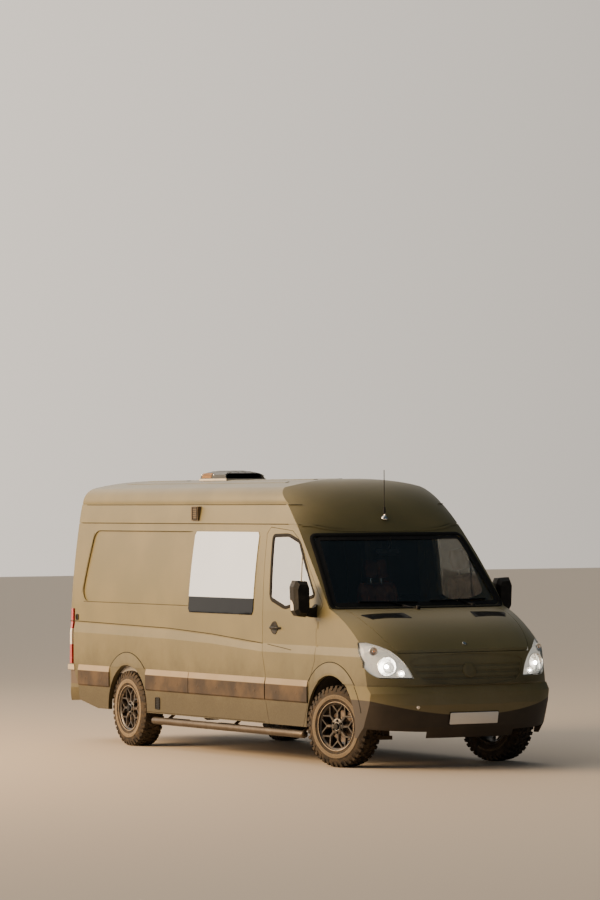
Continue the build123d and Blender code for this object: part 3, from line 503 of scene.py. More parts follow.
screen_glass = glass_finish("laminated screen glass", (0.90, 0.94, 0.92), 0.0)
dress(screen_glass, "windscreen")
BACK = (0, 1, 0)
SCREEN = [(-0.930, 1.505), (0.930, 1.505), (0.815, 2.175), (-0.815, 2.175)]
SEAL = [(-0.941, 1.497), (0.941, 1.497), (0.832, 2.188), (-0.832, 2.188)]
seal = bead_mesh(rounded(front_points(SEAL), 0.06), BACK, raised_section(0.042, 0.006))
new_piece("screen_seal", seal, black_rubber)
print_black = noise_finish("black printed border", 30.0, 3.0, (0.006, 0.006, 0.007), (0.020, 0.019, 0.018),
                           Roughness=0.45, Specular_IOR_Level=0.15)
border = ((-0.024, 0.0008), (0.024, 0.0008))
inner_border = rounded(front_points([(x * 0.968, 1.84 + (z - 1.84) * 0.935) for x, z in SCREEN]), 0.05)
new_piece("screen_border", bead_mesh(inner_border, BACK, border), print_black)

# Cab door windows: tempered panes in thick black rubber channels. A pale upright bar
# parts the fixed front light from the pane that winds down.
door_glass = glass_finish("tempered door glass", (0.86, 0.81, 0.73), 0.0, Metallic=0.65)
CAB_WINDOW = [(2.264, 2.180), (1.950, 2.187), (1.720, 2.124), (1.357, 1.613), (1.938, 1.485), (2.247, 1.570)]
DIVIDER = [(1.640, 1.556), (1.652, 2.020)]
pale_bar = noise_finish("brushed pale trim", 180.0, 2.0, (0.50, 0.48, 0.44), (0.68, 0.66, 0.61),
                        raised=(0.0003, 0.5), Metallic=0.7, Roughness=0.32)
for sign, side in SIDES:
    door = "cab_door_" + side
    dress(door_glass, "cab_glass_" + side)
    path = rounded(side_points(sign, CAB_WINDOW), 0.045)
    new_piece("cab_window_seal_" + side, bead_mesh(path, (-sign, 0, 0), raised_section(0.034, 0.006)),
              black_rubber, door)
    new_piece("cab_window_bar_" + side, side_bead(sign, DIVIDER, 0.018, 0.007), pale_bar, door)

# Living space windows: mirror privacy glass bonded over the panel openings. The lower
# edge is printed black, where the furniture stands behind it.
mirror_glass, tree, shader = new_finish("mirror privacy glass", Metallic=0.97)
band = smooth_step(tree, position(tree, 2), 1.561, 1.566)
wave = noise(tree, 1.6)
silvering = blend_colours(tree, wave, (0.86, 0.82, 0.76), (0.96, 0.92, 0.85))
two_tones(tree, shader, band, (0.003, 0.003, 0.003), silvering)
roughen(tree, shader, wave, 0.04, 0.02)
raise_surface(tree, shader, wave, 0.02, 0.08)
dress(mirror_glass, "side_glass")
# side, and the back edge's station at the top and at the foot
LIVING_PANES = ((-1, "right", 3.908, 3.978), (1, "left", 3.672, 3.690))
POST = NOSE + 2.490
PANE_ROWS = 24
# shares of the width; the first and the last point turn in behind the pane's edge
PANE_SHARES = (0.0, 0.0, 0.004, 0.25, 0.5, 0.75, 0.996, 1.0, 1.0)
PANE_POINTS = len(PANE_SHARES)
for sign, side, back_top, back_low in LIVING_PANES:
    corners = side_points(sign, [(2.548, 2.213), (back_top, 2.213), (back_low, 1.412), (2.600, 1.404)])
    points = []
    for row in range(PANE_ROWS + 1):
        t = row / PANE_ROWS
        height = corners[3].z + (corners[0].z - corners[3].z) * t
        start = corners[3].lerp(corners[0], t).y
        end = corners[2].lerp(corners[1], t).y
        skin = touch((sign, POST, height), (-sign, 0, 0))[0].x
        draw = 0.02 if row in (0, PANE_ROWS) else 0.0
        for k, share in enumerate(PANE_SHARES):
            share = draw + (1 - 2 * draw) * share
            proud = -0.014 if k in (0, PANE_POINTS - 1) else 0.0065
            points.append(Vector((skin + sign * proud, start + (end - start) * share, height)))
    faces = []
    for row in range(PANE_ROWS):
        for k in range(row * PANE_POINTS, (row + 1) * PANE_POINTS - 1):
            faces.append((k, k + 1, k + 1 + PANE_POINTS, k + PANE_POINTS))
    new_piece("living_pane_" + side, (points, faces), mirror_glass, "body")

# Headlamps: a clear moulded lens over a silvered housing, with a large main bowl, a
# small inner one and an indicator in the upper corner. The main bulb is lit, and the
# housing has a faint painted glow.


def lathe_mesh(profile, segments, place=(0, 0, 0), axis=(1, 0, 0)):
    # profile rows: radius and distance along the axis
    along = Vector(axis).normalized()
    first = along.orthogonal().normalized()
    second = along.cross(first)
    points = []
    for radius, reach in profile:
        for k in range(segments):
            angle = 2 * math.pi * k / segments
            around = first * math.cos(angle) + second * math.sin(angle)
            points.append(Vector(place) + along * reach + around * radius)
    return points, bands(len(profile), segments)


def join_meshes(*parts):
    points = []
    faces = []
    for some_points, some_faces in parts:
        start = len(points)
        points += some_points
        faces += [tuple(start + i for i in face) for face in some_faces]
    return points, faces


lens, tree, shader = new_finish(
    "clear lamp lens", IOR=1.08, Transmission_Weight=1.0, Coat_Weight=1.0, Coat_Roughness=0.03)
haze = noise(tree, 9.0, 4.0)
two_tones(tree, shader, haze, (0.97, 0.97, 0.95), (0.90, 0.88, 0.82))
feed(tree, shader.inputs["Roughness"], calc(tree, "MULTIPLY", haze, 0.05))
dress(lens, "headlamps")
silver = noise_finish("silvered reflector", 40.0, 2.0, (0.78, 0.76, 0.72), (0.93, 0.92, 0.90), (0.15, 0.22),
                      raised=(0.004, 0.3), Metallic=1.0)
# painted glow: the housing emits a faint warm light, standing in for the bulb's light on it
frosted, tree, shader = new_finish("frosted lamp housing", Metallic=0.25, Coat_Weight=0.5,
                                   Emission_Strength=0.35)
tone = noise(tree, 25.0)
two_tones(tree, shader, tone, (0.62, 0.60, 0.56), (0.84, 0.82, 0.77))
feed(tree, shader.inputs["Emission Color"], blend_colours(tree, tone, (1.0, 0.92, 0.78), (1.0, 0.96, 0.88)))
roughen(tree, shader, tone, 0.2, 0.25)
amber = noise_finish("amber bulb", 90.0, 2.0, (0.70, 0.22, 0.03), (0.85, 0.34, 0.06), Coat_Weight=1.0,
                     Roughness=0.2)
lit_bulb, tree, shader = new_finish("lit bulb", Emission_Strength=110.0, Roughness=0.2)
core = add(tree, "LayerWeight", Blend=0.4).outputs[1]
feed(tree, shader.inputs["Emission Color"], blend_colours(tree, core, (1.0, 0.97, 0.90), (1.0, 0.90, 0.74)))


def lamp_housing(sign):
    # the lens's outer faces again, drawn in from its edge and set behind it
    mesh = nodes["headlamps"].data
    kept = [face for face in mesh.polygons if face.center.x * sign > 0
            and (face.normal.y < -0.30 or face.normal.x * sign > 0.35)]
    used = sorted({i for face in kept for i in face.vertices})
    order = {i: k for k, i in enumerate(used)}
    middle = sum((mesh.vertices[i].co for i in used), Vector()) / len(used)
    shift = Vector((-sign * 0.022, 0.036, 0))
    points = [middle + (mesh.vertices[i].co - middle) * 0.965 + shift for i in used]
    return points, [tuple(order[i] for i in face.vertices) for face in kept]


# x, height, radius, depth, and the radius of its bulb
BOWLS = ((0.815, 0.972, 0.088, 0.050, 0.017), (0.702, 0.905, 0.034, 0.022, 0.008),
         (0.905, 1.112, 0.036, 0.024, 0.008))
for sign, side in SIDES:
    new_piece("lamp_housing_" + side, lamp_housing(sign), frosted, "body")
    bowls = []
    bulbs = []
    for x, height, radius, depth, bulb in BOWLS:
        place, normal = touch((sign * x, NOSE, height), BACK)
        axis = (normal + Vector((0, -1.4, 0.0))).normalized()
        mouth = place - axis * 0.010
        profile = [(radius + 0.006, -0.004), (radius + 0.004, 0.001), (radius, 0.0)]
        for t in (0.15, 0.3, 0.45, 0.6, 0.8, 0.97):
            profile.append((radius * (1 - t) + 0.006, -depth * (1 - (1 - t) ** 2)))
        bowls.append(lathe_mesh(profile, 48, mouth, axis))
        ball = [(bulb * math.sin(math.radians(a)),
                 -depth + 0.012 + bulb * 1.3 * (1 - math.cos(math.radians(a))))
                for a in (175, 150, 120, 90, 60, 30, 5)]
        bulbs.append(lathe_mesh(ball, 24, mouth, axis))
    new_piece("lamp_bowls_" + side, join_meshes(*bowls), silver, "body")
    new_piece("lamp_main_bulb_" + side, bulbs[0], lit_bulb, "body")
    new_piece("lamp_parking_bulb_" + side, bulbs[1], lit_bulb, "body")
    new_piece("lamp_indicator_bulb_" + side, bulbs[2], amber, "body")

# Tail lamps: tall moulded lenses, red at the top and bottom and clear between, with
# fine upright flutes on their inner face.
tail_lens, tree, shader = new_finish("red and clear lens", Coat_Weight=1.0, Coat_Roughness=0.05,
                                     Subsurface_Weight=0.1)
height = position(tree, 2)
low_edge = smooth_step(tree, height, 1.010, 1.013)
high_edge = smooth_step(tree, height, 1.180, 1.177)
clear = calc(tree, "MULTIPLY", low_edge, high_edge)
two_tones(tree, shader, clear, (0.42, 0.012, 0.008), (0.72, 0.70, 0.66))
roughen(tree, shader, clear, 0.1, 0.12)
flutes = add(tree, "TexWave", Vector=object_place(tree), Scale=45.0, bands_direction="DIAGONAL").outputs[1]
raise_surface(tree, shader, flutes, 0.002, 0.5)
dress(tail_lens, "tail_lamps")

# Badge places: the grille's middle and the bonnet's edge each have a plain round boss
# where such vans carry a badge. Nothing is marked on them.


def disc_on_skin(x, height, radius, thickness, segments=40):
    place, normal = touch((x, NOSE, height), BACK)
    rows = [(radius, -0.012), (radius, thickness * 0.5), (radius * 0.93, thickness),
            (radius * 0.5, thickness * 1.25)]
    return lathe_mesh(rows + [(0.0005, thickness * 1.3)], segments, place, normal)


new_piece("grille_boss", disc_on_skin(0.0, 0.925, 0.072, 0.006), paint, "body")
chrome = noise_finish("dull chrome", 70.0, 4.0, (0.55, 0.55, 0.54), (0.80, 0.79, 0.77), (0.2, 0.10),
                      Metallic=1.0)
new_piece("bonnet_boss", disc_on_skin(0.0, 1.172, 0.019, 0.003), chrome, "bonnet")
new_piece("tow_eye_cap", disc_on_skin(-0.585, 0.591, 0.017, 0.003), chrome)

# Front plate: a blank pressed plate of the usual long size, in a thin black holder
# that is screwed to the bumper.
PLATE_WIDE = 0.520
PLATE_HIGH = 0.111
PLATE_MIDDLE = 0.481


def rounded_board(width, height, thickness, radius, place, turn_matrix):
    half_w = width / 2
    half_h = height / 2
    corners = [(-half_w, 0, -half_h), (half_w, 0, -half_h), (half_w, 0, half_h), (-half_w, 0, half_h)]
    path = rounded([Vector(c) for c in corners], radius)
    edge = min(0.0015, thickness / 3)
    rows = ((1.0, 0.0), (1.0, -thickness + edge), (1 - 2 * edge / min(width, height), -thickness))
    points = []
    for scale, reach in rows:
        for corner in path:
            moved = Vector((corner.x * (1 - (1 - scale) * height / width), reach, corner.z * scale))
            points.append(place + turn_matrix @ moved)
    count = len(path)
    return points, [row_face(0, count)[::-1], row_face(2, count)] + bands(3, count)


low_point = touch((0.0, NOSE, PLATE_MIDDLE - 0.045), BACK)[0]
high_point = touch((0.0, NOSE, PLATE_MIDDLE + 0.045), BACK)[0]
lean = Matrix.Rotation(-math.atan2(high_point.y - low_point.y, high_point.z - low_point.z), 3, "X")
plate_place = (low_point + high_point) / 2 + Vector((0, 0.004, 0))
plate_white, tree, shader = new_finish("reflective white plate", Roughness=0.35, Coat_Weight=0.5)
film = use_group(tree, road_dust, Clean=(0.74, 0.73, 0.70), Top=0.60, Depth=0.25, Amount=0.12, Scale=3.0)
feed(tree, shader.inputs["Base Color"], film["Color"])
holder = rounded_board(PLATE_WIDE + 0.012, PLATE_HIGH + 0.012, 0.008, 0.010, plate_place, lean)
new_piece("plate_holder", holder, black_rubber)
new_piece("blank_plate", rounded_board(PLATE_WIDE, PLATE_HIGH, 0.011, 0.010, plate_place, lean), plate_white)

# Bonnet vents: two black moulded louvres set in pockets near the screen. Each has
# slats that run across the van.
moulded_black, tree, shader = new_finish("moulded black plastic", Specular_IOR_Level=0.18)
fine_grain, into, out = effect_group(
    "moulded grain", (("Scale", "Float", 400.0), ("Wear", "Float", 0.5)),
    (("Height", "Float"), ("Worn", "Float")))
cells = add(fine_grain, "TexVoronoi", Vector=object_place(fine_grain), Scale=into["Scale"]).outputs[0]
rubbed = noise(fine_grain, 11.0, 6.0)
feed(fine_grain, out["Height"], cells)
feed(fine_grain, out["Worn"], calc(fine_grain, "MULTIPLY", smooth_step(fine_grain, rubbed, 0.45, 0.8),
                                   into["Wear"]))
grain = use_group(tree, fine_grain, Scale=420.0, Wear=0.8)
two_tones(tree, shader, grain["Worn"], (0.006, 0.006, 0.006), (0.030, 0.027, 0.023))
roughen(tree, shader, grain["Worn"], 0.3, 0.42)
raise_surface(tree, shader, grain["Height"], 0.0006, 0.5)
DOWN = (0, 0, -1)
VENT = [(0.366, 0.700), (0.792, 0.766), (0.731, 0.640), (0.345, 0.566)]
for sign, side in SIDES:
    corners = [Vector((sign * x, NOSE + station, 1.6)) for x, station in VENT]
    path = rounded(corners, 0.014)
    parts = [patch_mesh(path, DOWN, 0.001, rings=3)]
    for share in (0.12, 0.31, 0.5, 0.69, 0.88):
        start = corners[0].lerp(corners[3], share)
        end = corners[1].lerp(corners[2], share)
        slat = [start.lerp(end, 0.03), start.lerp(end, 0.97)]
        parts.append(bead_mesh(slat, DOWN, raised_section(0.009, 0.0055), False))
    new_piece("bonnet_vent_" + side, join_meshes(*parts), moulded_black, "bonnet")

# Wipers: two black arms on pivots in the cowl. Their blades are parked along the foot
# of the screen. The rows give a pivot and a blade's ends: x and height on the screen.
WIPERS = (("near", (0.560, 1.500), (0.130, 1.548), (0.760, 1.560)),
          ("far", (-0.130, 1.488), (-0.640, 1.548), (-0.020, 1.540)))
for label, pivot, start, end in WIPERS:
    middle = ((start[0] + end[0]) / 2, (start[1] + end[1]) / 2 + 0.004)
    arm = bead_mesh(front_points([pivot, middle]), BACK, raised_section(0.018, 0.022), False)
    blade = bead_mesh(front_points([start, end]), BACK, raised_section(0.011, 0.016), False)
    place, normal = touch((pivot[0], NOSE, pivot[1]), BACK)
    cap = lathe_mesh([(0.022, -0.01), (0.022, 0.018), (0.017, 0.026), (0.001, 0.028)], 24, place, normal)
    new_piece("wiper_" + label, join_meshes(arm, blade, cap), moulded_black)

# Cowl: a black plastic tray that closes the gap between bonnet and screen. It is clipped
# down at its edges, and the wipers stand on it.
dress(moulded_black, "cowl_panel")

# Door mirrors: black grained housings on short arms, with a clear indicator low on the
# outer edge and a mirror glass that faces back.
dress(moulded_black, "mirror_left", "mirror_right")
clear_marker = noise_finish("clear indicator lens", 70.0, 2.0, (0.60, 0.56, 0.50), (0.80, 0.76, 0.70),
                            Coat_Weight=1.0, Roughness=0.2)
MIRROR_GLASS = [(1.062, 1.500), (1.085, 1.440), (1.160, 1.448), (1.184, 1.480), (1.190, 1.690),
                (1.170, 1.735), (1.072, 1.730), (1.058, 1.690)]
mirror_face, tree, shader = new_finish("mirror glass", Metallic=1.0, Coat_Weight=0.5)
soft = noise(tree, 6.0)
two_tones(tree, shader, soft, (0.80, 0.82, 0.82), (0.88, 0.89, 0.88))
feed(tree, shader.inputs["Roughness"], calc(tree, "MULTIPLY", soft, 0.04))
mirror_skin = tree_of("mirror_left", "mirror_right")
for sign, side in SIDES:
    door = "cab_door_" + side
    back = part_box("mirror_" + side)[1].y
    path = rounded([Vector((sign * x, back, z)) for x, z in MIRROR_GLASS], 0.03)
    glass = path + [p + Vector((0, 0.004, 0)) for p in path], [row_face(1, len(path))] + bands(2, len(path))
    new_piece("mirror_glass_" + side, glass, mirror_face, door)
    rows = ((1.332, 1.468), (1.392, 1.462), (1.392, 1.570), (1.352, 1.550), (1.334, 1.520))
    lens_path = [Vector((sign * 1.25, NOSE + station, height)) for station, height in rows]
    lens_mesh = patch_mesh(even(rounded(lens_path, 0.012), 0.02), (-sign, 0, 0.25), 0.002, 3, mirror_skin)
    new_piece("mirror_indicator_" + side, lens_mesh, clear_marker, door)

# Door handles: a dark dished plate in a diamond shape, with a bar across it and a lock
# beside it. The sliding door and the rear door have the same kind.


def handle_meshes(place, normal, along, long, wide):
    along = (along - normal * along.dot(normal)).normalized()
    up = normal.cross(along).normalized()
    plate = []
    outline = [(-0.5, 0), (-0.16, 0.42), (0.16, 0.5), (0.5, 0), (0.16, -0.5), (-0.16, -0.42)]
    path = rounded([place + along * (a * long) + up * (b * wide) for a, b in outline], 0.02)
    for share, proud in ((1.0, -0.002), (1.0, 0.0035), (0.9, 0.0045), (0.72, 0.0015)):
        plate += [place + (p - place) * share + normal * proud for p in path]
    faces = [row_face(3, len(path))] + bands(4, len(path))
    bar = []
    sections = 13
    ring = 10
    for i in range(sections):
        t = i / (sections - 1) * 2 - 1
        lift = 0.030 * (1 - t ** 4) + 0.002
        size = 0.013 * (1 - 0.35 * t * t)
        for k in range(ring):
            angle = 2 * math.pi * k / ring
            bar.append(place + along * (long * 0.16 - t * long * 0.60) + up * (math.cos(angle) * size)
                       + normal * (lift + math.sin(angle) * size * 0.6))
    bar_faces = bands(sections, ring) + [row_face(0, ring)[::-1], row_face(sections - 1, ring)]
    lock = lathe_mesh([(0.013, -0.002), (0.013, 0.005), (0.010, 0.007), (0.0005, 0.007)], 20,
                      place - along * long * 0.30 - up * wide * 0.02, normal)
    return (plate, faces), (bar, bar_faces), lock


AHEAD = (0, -1, 0)
UP = (0, 0, 1)
# label, body, point before the skin, ray, and the bar's direction
HANDLES = (
    ("cab_right", "cab_door_right", (-1, NOSE + 2.160, 1.290), (1, 0, 0), AHEAD),
    ("cab_left", "cab_door_left", (1, NOSE + 2.160, 1.290), (-1, 0, 0), AHEAD),
    ("sliding", "body", (1, NOSE + 2.590, 1.290), (-1, 0, 0), AHEAD),
    ("rear", "rear_door_right", (-0.085, -NOSE, 1.190), AHEAD, UP),
)
for label, body, start, ray, along in HANDLES:
    place, normal = touch(start, ray)
    plate, bar, lock = handle_meshes(place, normal, Vector(along), 0.185, 0.135)
    new_piece("handle_dish_" + label, plate, moulded_black, body)
    new_piece("handle_bar_" + label, bar, moulded_black, body)
    new_piece("handle_lock_" + label, lock, chrome, body)

# Creases: the long pressed lines of the side panels. Each is laid as a narrow dark
# fillet, painted shade along the crease's shadow line.
# painted shade: this dark finish stands in for the shadow lines of creases and gaps
painted_shade = noise_finish("grime in a crease", 14.0, 5.0, (0.022, 0.020, 0.012), (0.060, 0.050, 0.030),
                     raised=(0.0008, 0.5), Roughness=0.8, Specular_IOR_Level=0.1)
SHOULDER_TOP = [(2.400, 1.135), (3.470, 1.198), (4.390, 1.232), (6.640, 1.259)]
DOOR_TAPER = [(2.290, 1.128), (2.050, 1.108), (1.800, 1.086)]
SWAGE = [(1.950, 2.480), (6.500, 2.480)]
DRIP = [(2.000, 2.292), (6.560, 2.292)]
RECESS_FOOT = [(3.990, 1.468), (6.395, 1.468)]
RECESS_HEAD = [(3.990, 2.212), (6.140, 2.212)]
RECESS_END = [(6.232, 2.185), (6.300, 2.000), (6.440, 1.560)]
SILL_SEAM = [(2.330, 0.372), (4.880, 0.372)]
CREASES = (
    ("shoulder", SHOULDER_TOP, 0.009, "body"), ("swage", SWAGE, 0.008, "body"), ("drip", DRIP, 0.008, "body"),
    ("sill", SILL_SEAM, 0.007, "body"), ("door", DOOR_TAPER, 0.007, "door"),
    ("recess_foot", RECESS_FOOT, 0.006, "body"), ("recess_head", RECESS_HEAD, 0.006, "body"),
    ("recess_end", RECESS_END, 0.007, "body"),
)
for sign, side in SIDES:
    for label, rows, width, body in CREASES:
        body = "cab_door_" + side if body == "door" else body
        new_piece(f"{label}_crease_{side}", side_bead(sign, rows, width, 0.0012, 0.08), painted_shade, body)

# Rub strips: thick moulded plastic boards clipped along the sides at hub height. Their
# bevelled top is coloured pale as a painted highlight, and dried mud is smeared over the face below it.
strip_plastic, tree, shader = new_finish("weathered strip plastic", Specular_IOR_Level=0.25)
height = position(tree, 2)
smears = noise(tree, 3.2, 4.0, Roughness=0.55)
spots = noise(tree, 38.0, 4.0)
patchy = smooth_step(tree, calc(tree, "MULTIPLY_ADD", spots, 0.10, smears), 0.42, 0.80)
face_colour = blend_colours(tree, patchy, (0.024, 0.016, 0.010), (0.095, 0.066, 0.041))
# painted highlight: the strip's bevelled top above this height is coloured pale
bevel = smooth_step(tree, height, STRIP_BEVEL - 0.004, STRIP_BEVEL + 0.004)
two_tones(tree, shader, bevel, face_colour, (0.265, 0.220, 0.160))
roughen(tree, shader, patchy, 0.25, 0.55)
raise_surface(tree, shader, spots, 0.0012, 0.6)
dress(strip_plastic, "rub_strips", "door_strip_left", "door_strip_right")
strip_skin = tree_of("rub_strips", "door_strip_left", "door_strip_right")
# first and last station of each run, and the body that carries it
STRIP_RUNS = ((1.460, 2.300, "door"), (2.320, 3.935, "body"), (3.945, 4.900, "body"), (5.745, 6.480, "body"))
for sign, side in SIDES:
    for index, (first, last, body) in enumerate(STRIP_RUNS):
        body = "cab_door_" + side if body == "door" else body
        ends = []
        for station in (first + 0.007, last - 0.007):
            rows = [(station, STRIP_FOOT), (station, STRIP_TOP - 0.005)]
            ends.append(side_bead(sign, rows, 0.010, 0.0025, 0.05))
        rows = [(first + 0.01, STRIP_BEVEL - 0.002), (last - 0.01, STRIP_BEVEL - 0.002)]
        ends.append(side_bead(sign, rows, 0.005, 0.0012, 0.2))
        # painted shade: dark lines at each run's ends and along its bevel
        new_piece(f"strip_shadow_lines_{side}_{index}", join_meshes(*ends), painted_shade, body)
        plugs = []
        count = max(2, round((last - first) / 0.42))
        for k in range(count):
            station = first + (last - first) * (k + 0.5) / count
            place, normal = touch((sign, NOSE + station, 0.672), (-sign, 0, 0), strip_skin)
            plugs.append(lathe_mesh([(0.013, -0.002), (0.013, 0.001), (0.010, 0.002), (0.0005, 0.002)], 20,
                                    place, normal))
        new_piece(f"strip_plugs_{side}_{index}", join_meshes(*plugs), strip_plastic, body)

# Side markers: a small black lamp high on the rear corner and a vent with slats low
# behind the sliding door's place. Both are pushed into holes in the panel.
MARKERS = (("rear", 6.543, 1.300, 0.055, 0.055, 0), ("louvre", 4.634, 0.464, 0.095, 0.115, 4))
for sign, side in SIDES:
    for label, station, height, wide, high, slats in MARKERS:
        corners = side_points(sign, [
            (station - wide / 2, height - high / 2), (station + wide / 2, height - high / 2),
            (station + wide / 2, height + high / 2), (station - wide / 2, height + high / 2)])
        path = rounded(corners, 0.014)
        parts = [patch_mesh(path, (-sign, 0, 0), 0.003, rings=2)]
        parts.append(bead_mesh(path, (-sign, 0, 0), raised_section(0.009, 0.008)))
        for k in range(slats):
            level = height - high * 0.32 + high * 0.64 * k / (slats - 1)
            parts.append(side_bead(sign, [(station - wide * 0.36, level), (station + wide * 0.36, level)],
                                   0.010, 0.009))
        new_piece(f"{label}_marker_{side}", join_meshes(*parts), moulded_black)

# Side steps: brushed steel tubes under the sills, closed with domed caps. Three black
# brackets bolt each tube to the chassis, and rubber treads lie on it.
brushed_steel, tree, shader = new_finish("brushed step tube", Metallic=0.85)
scratches = noise(tree, 150.0, 3.0)
mud = use_group(tree, road_dust, Clean=(0.115, 0.095, 0.072), Dust=(0.060, 0.041, 0.025), Top=0.42,
                Depth=0.25, Amount=0.7, Scale=9.0)
feed(tree, shader.inputs["Base Color"], mud["Color"])
roughen(tree, shader, scratches, 0.3, 0.34)
raise_surface(tree, shader, scratches, 0.0004, 0.5)
under_steel, tree, shader = new_finish("sealed chassis steel", Specular_IOR_Level=0.25)
mud = use_group(tree, road_dust, Clean=(0.018, 0.017, 0.016), Dust=(0.115, 0.080, 0.050), Top=0.75, Depth=0.6,
                Amount=0.85, Scale=7.0)
lumps = noise(tree, 35.0, 6.0)
feed(tree, shader.inputs["Base Color"], mud["Color"])
roughen(tree, shader, mud["Mask"], 0.3, 0.55)
raise_surface(tree, shader, lumps, 0.004, 0.6)
STEP_X = 0.952
STEP_HEIGHT = 0.284
STEP_RADIUS = 0.037


def tube_mesh(path, radius, sides=24, closed=False):
    # a round bar along a path; an open one has domed ends
    path = [Vector(p) for p in path]
    rows = [(p, radius) for p in path]
    if not closed:
        first = (path[0] - path[1]).normalized()
        last = (path[-1] - path[-2]).normalized()
        dome = [(math.sin(math.radians(a)), math.cos(math.radians(a))) for a in (25, 50, 75, 89)]
        rows = [(path[0] + first * radius * 0.6 * s, radius * c) for s, c in reversed(dome)] + rows
        rows += [(path[-1] + last * radius * 0.6 * s, radius * c) for s, c in dome]
    points = []
    count = len(rows)
    side_way = None
    for i, (place, size) in enumerate(rows):
        before = rows[i - 1][0] if closed or i else place
        after = rows[(i + 1) % count][0] if closed or i < count - 1 else place
        along = (after - before).normalized()
        if side_way is None:
            side_way = along.orthogonal().normalized()
        side_way = (side_way - along * side_way.dot(along)).normalized()
        other = along.cross(side_way)
        for k in range(sides):
            angle = 2 * math.pi * k / sides
            points.append(place + (side_way * math.cos(angle) + other * math.sin(angle)) * size)
    faces = bands(count, sides, closed)
    if not closed:
        faces += [row_face(0, sides)[::-1], row_face(count - 1, sides)]
    return points, faces


def block_mesh(low, high, edge=0.004):
    # a block with bevelled edges between two corners
    shape = bmesh.new()
    bmesh.ops.create_cube(shape, size=1.0)
    low = Vector(low)
    high = Vector(high)
    for vertex in shape.verts:
        vertex.co = Vector([low[i] + (high[i] - low[i]) * (vertex.co[i] + 0.5) for i in range(3)])
    if edge:
        bmesh.ops.bevel(shape, geom=shape.edges[:], offset=edge, segments=2, profile=0.7, affect="EDGES")
    points = [vertex.co.copy() for vertex in shape.verts]
    faces = [tuple(vertex.index for vertex in face.verts) for face in shape.faces]
    shape.free()
    return points, faces


for sign, side in SIDES:
    x = sign * STEP_X
    stations = [1.590 + 3.180 * k / 16 for k in range(17)]
    tube = tube_mesh([(x, NOSE + s, STEP_HEIGHT) for s in stations], STEP_RADIUS, 32)
    tube_piece = new_piece("step_tube_" + side, tube, brushed_steel, "body")
    if side == "right":
        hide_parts("side_steps")
    brackets = []
    pads = []
    for station in (1.750, 3.180, 4.610):
        y = NOSE + station
        arm = [(x, y, STEP_HEIGHT + 0.004), (x - sign * 0.075, y, STEP_HEIGHT + 0.012),
               (x - sign * 0.150, y, STEP_HEIGHT + 0.070), (x - sign * 0.300, y, 0.420)]
        brackets.append(tube_mesh(arm, 0.016, 12))
        brackets.append(block_mesh((min(x - sign * 0.345, x - sign * 0.285), y - 0.05, 0.405),
                                   (max(x - sign * 0.345, x - sign * 0.285), y + 0.05, 0.440)))
    for first in (1.86, 2.95, 4.02):
        for k in range(9):
            y = NOSE + first + k * 0.045
            top = STEP_HEIGHT + STEP_RADIUS
            pads.append(block_mesh((x - 0.020, y, top - 0.004), (x + 0.020, y + 0.030, top + 0.003), 0.002))
    new_piece("step_brackets_" + side, join_meshes(*brackets), under_steel, "body")
    new_piece("step_treads_" + side, join_meshes(*pads), black_rubber)

# Tyres: all-terrain tyres with staggered blocks that wrap over the shoulder. Their
# sidewalls carry a raised ring with short ribs, pale with dried sand.
TYRE_ROWS = [
    # half width and radius, from the outer bead round to the crown
    (0.098, 0.226), (0.108, 0.229), (0.1115, 0.238), (0.1165, 0.252), (0.1190, 0.259), (0.1212, 0.2605),
    (0.1220, 0.266), (0.1222, 0.281), (0.1216, 0.299), (0.1200, 0.3015), (0.1190, 0.303), (0.1165, 0.318),
    (0.1130, 0.336), (0.1065, 0.356), (0.0960, 0.3680), (0.0800, 0.3735), (0.0400, 0.3765), (0.0, 0.3775),
]
TYRE_STEPS = 120
PITCHES = 40


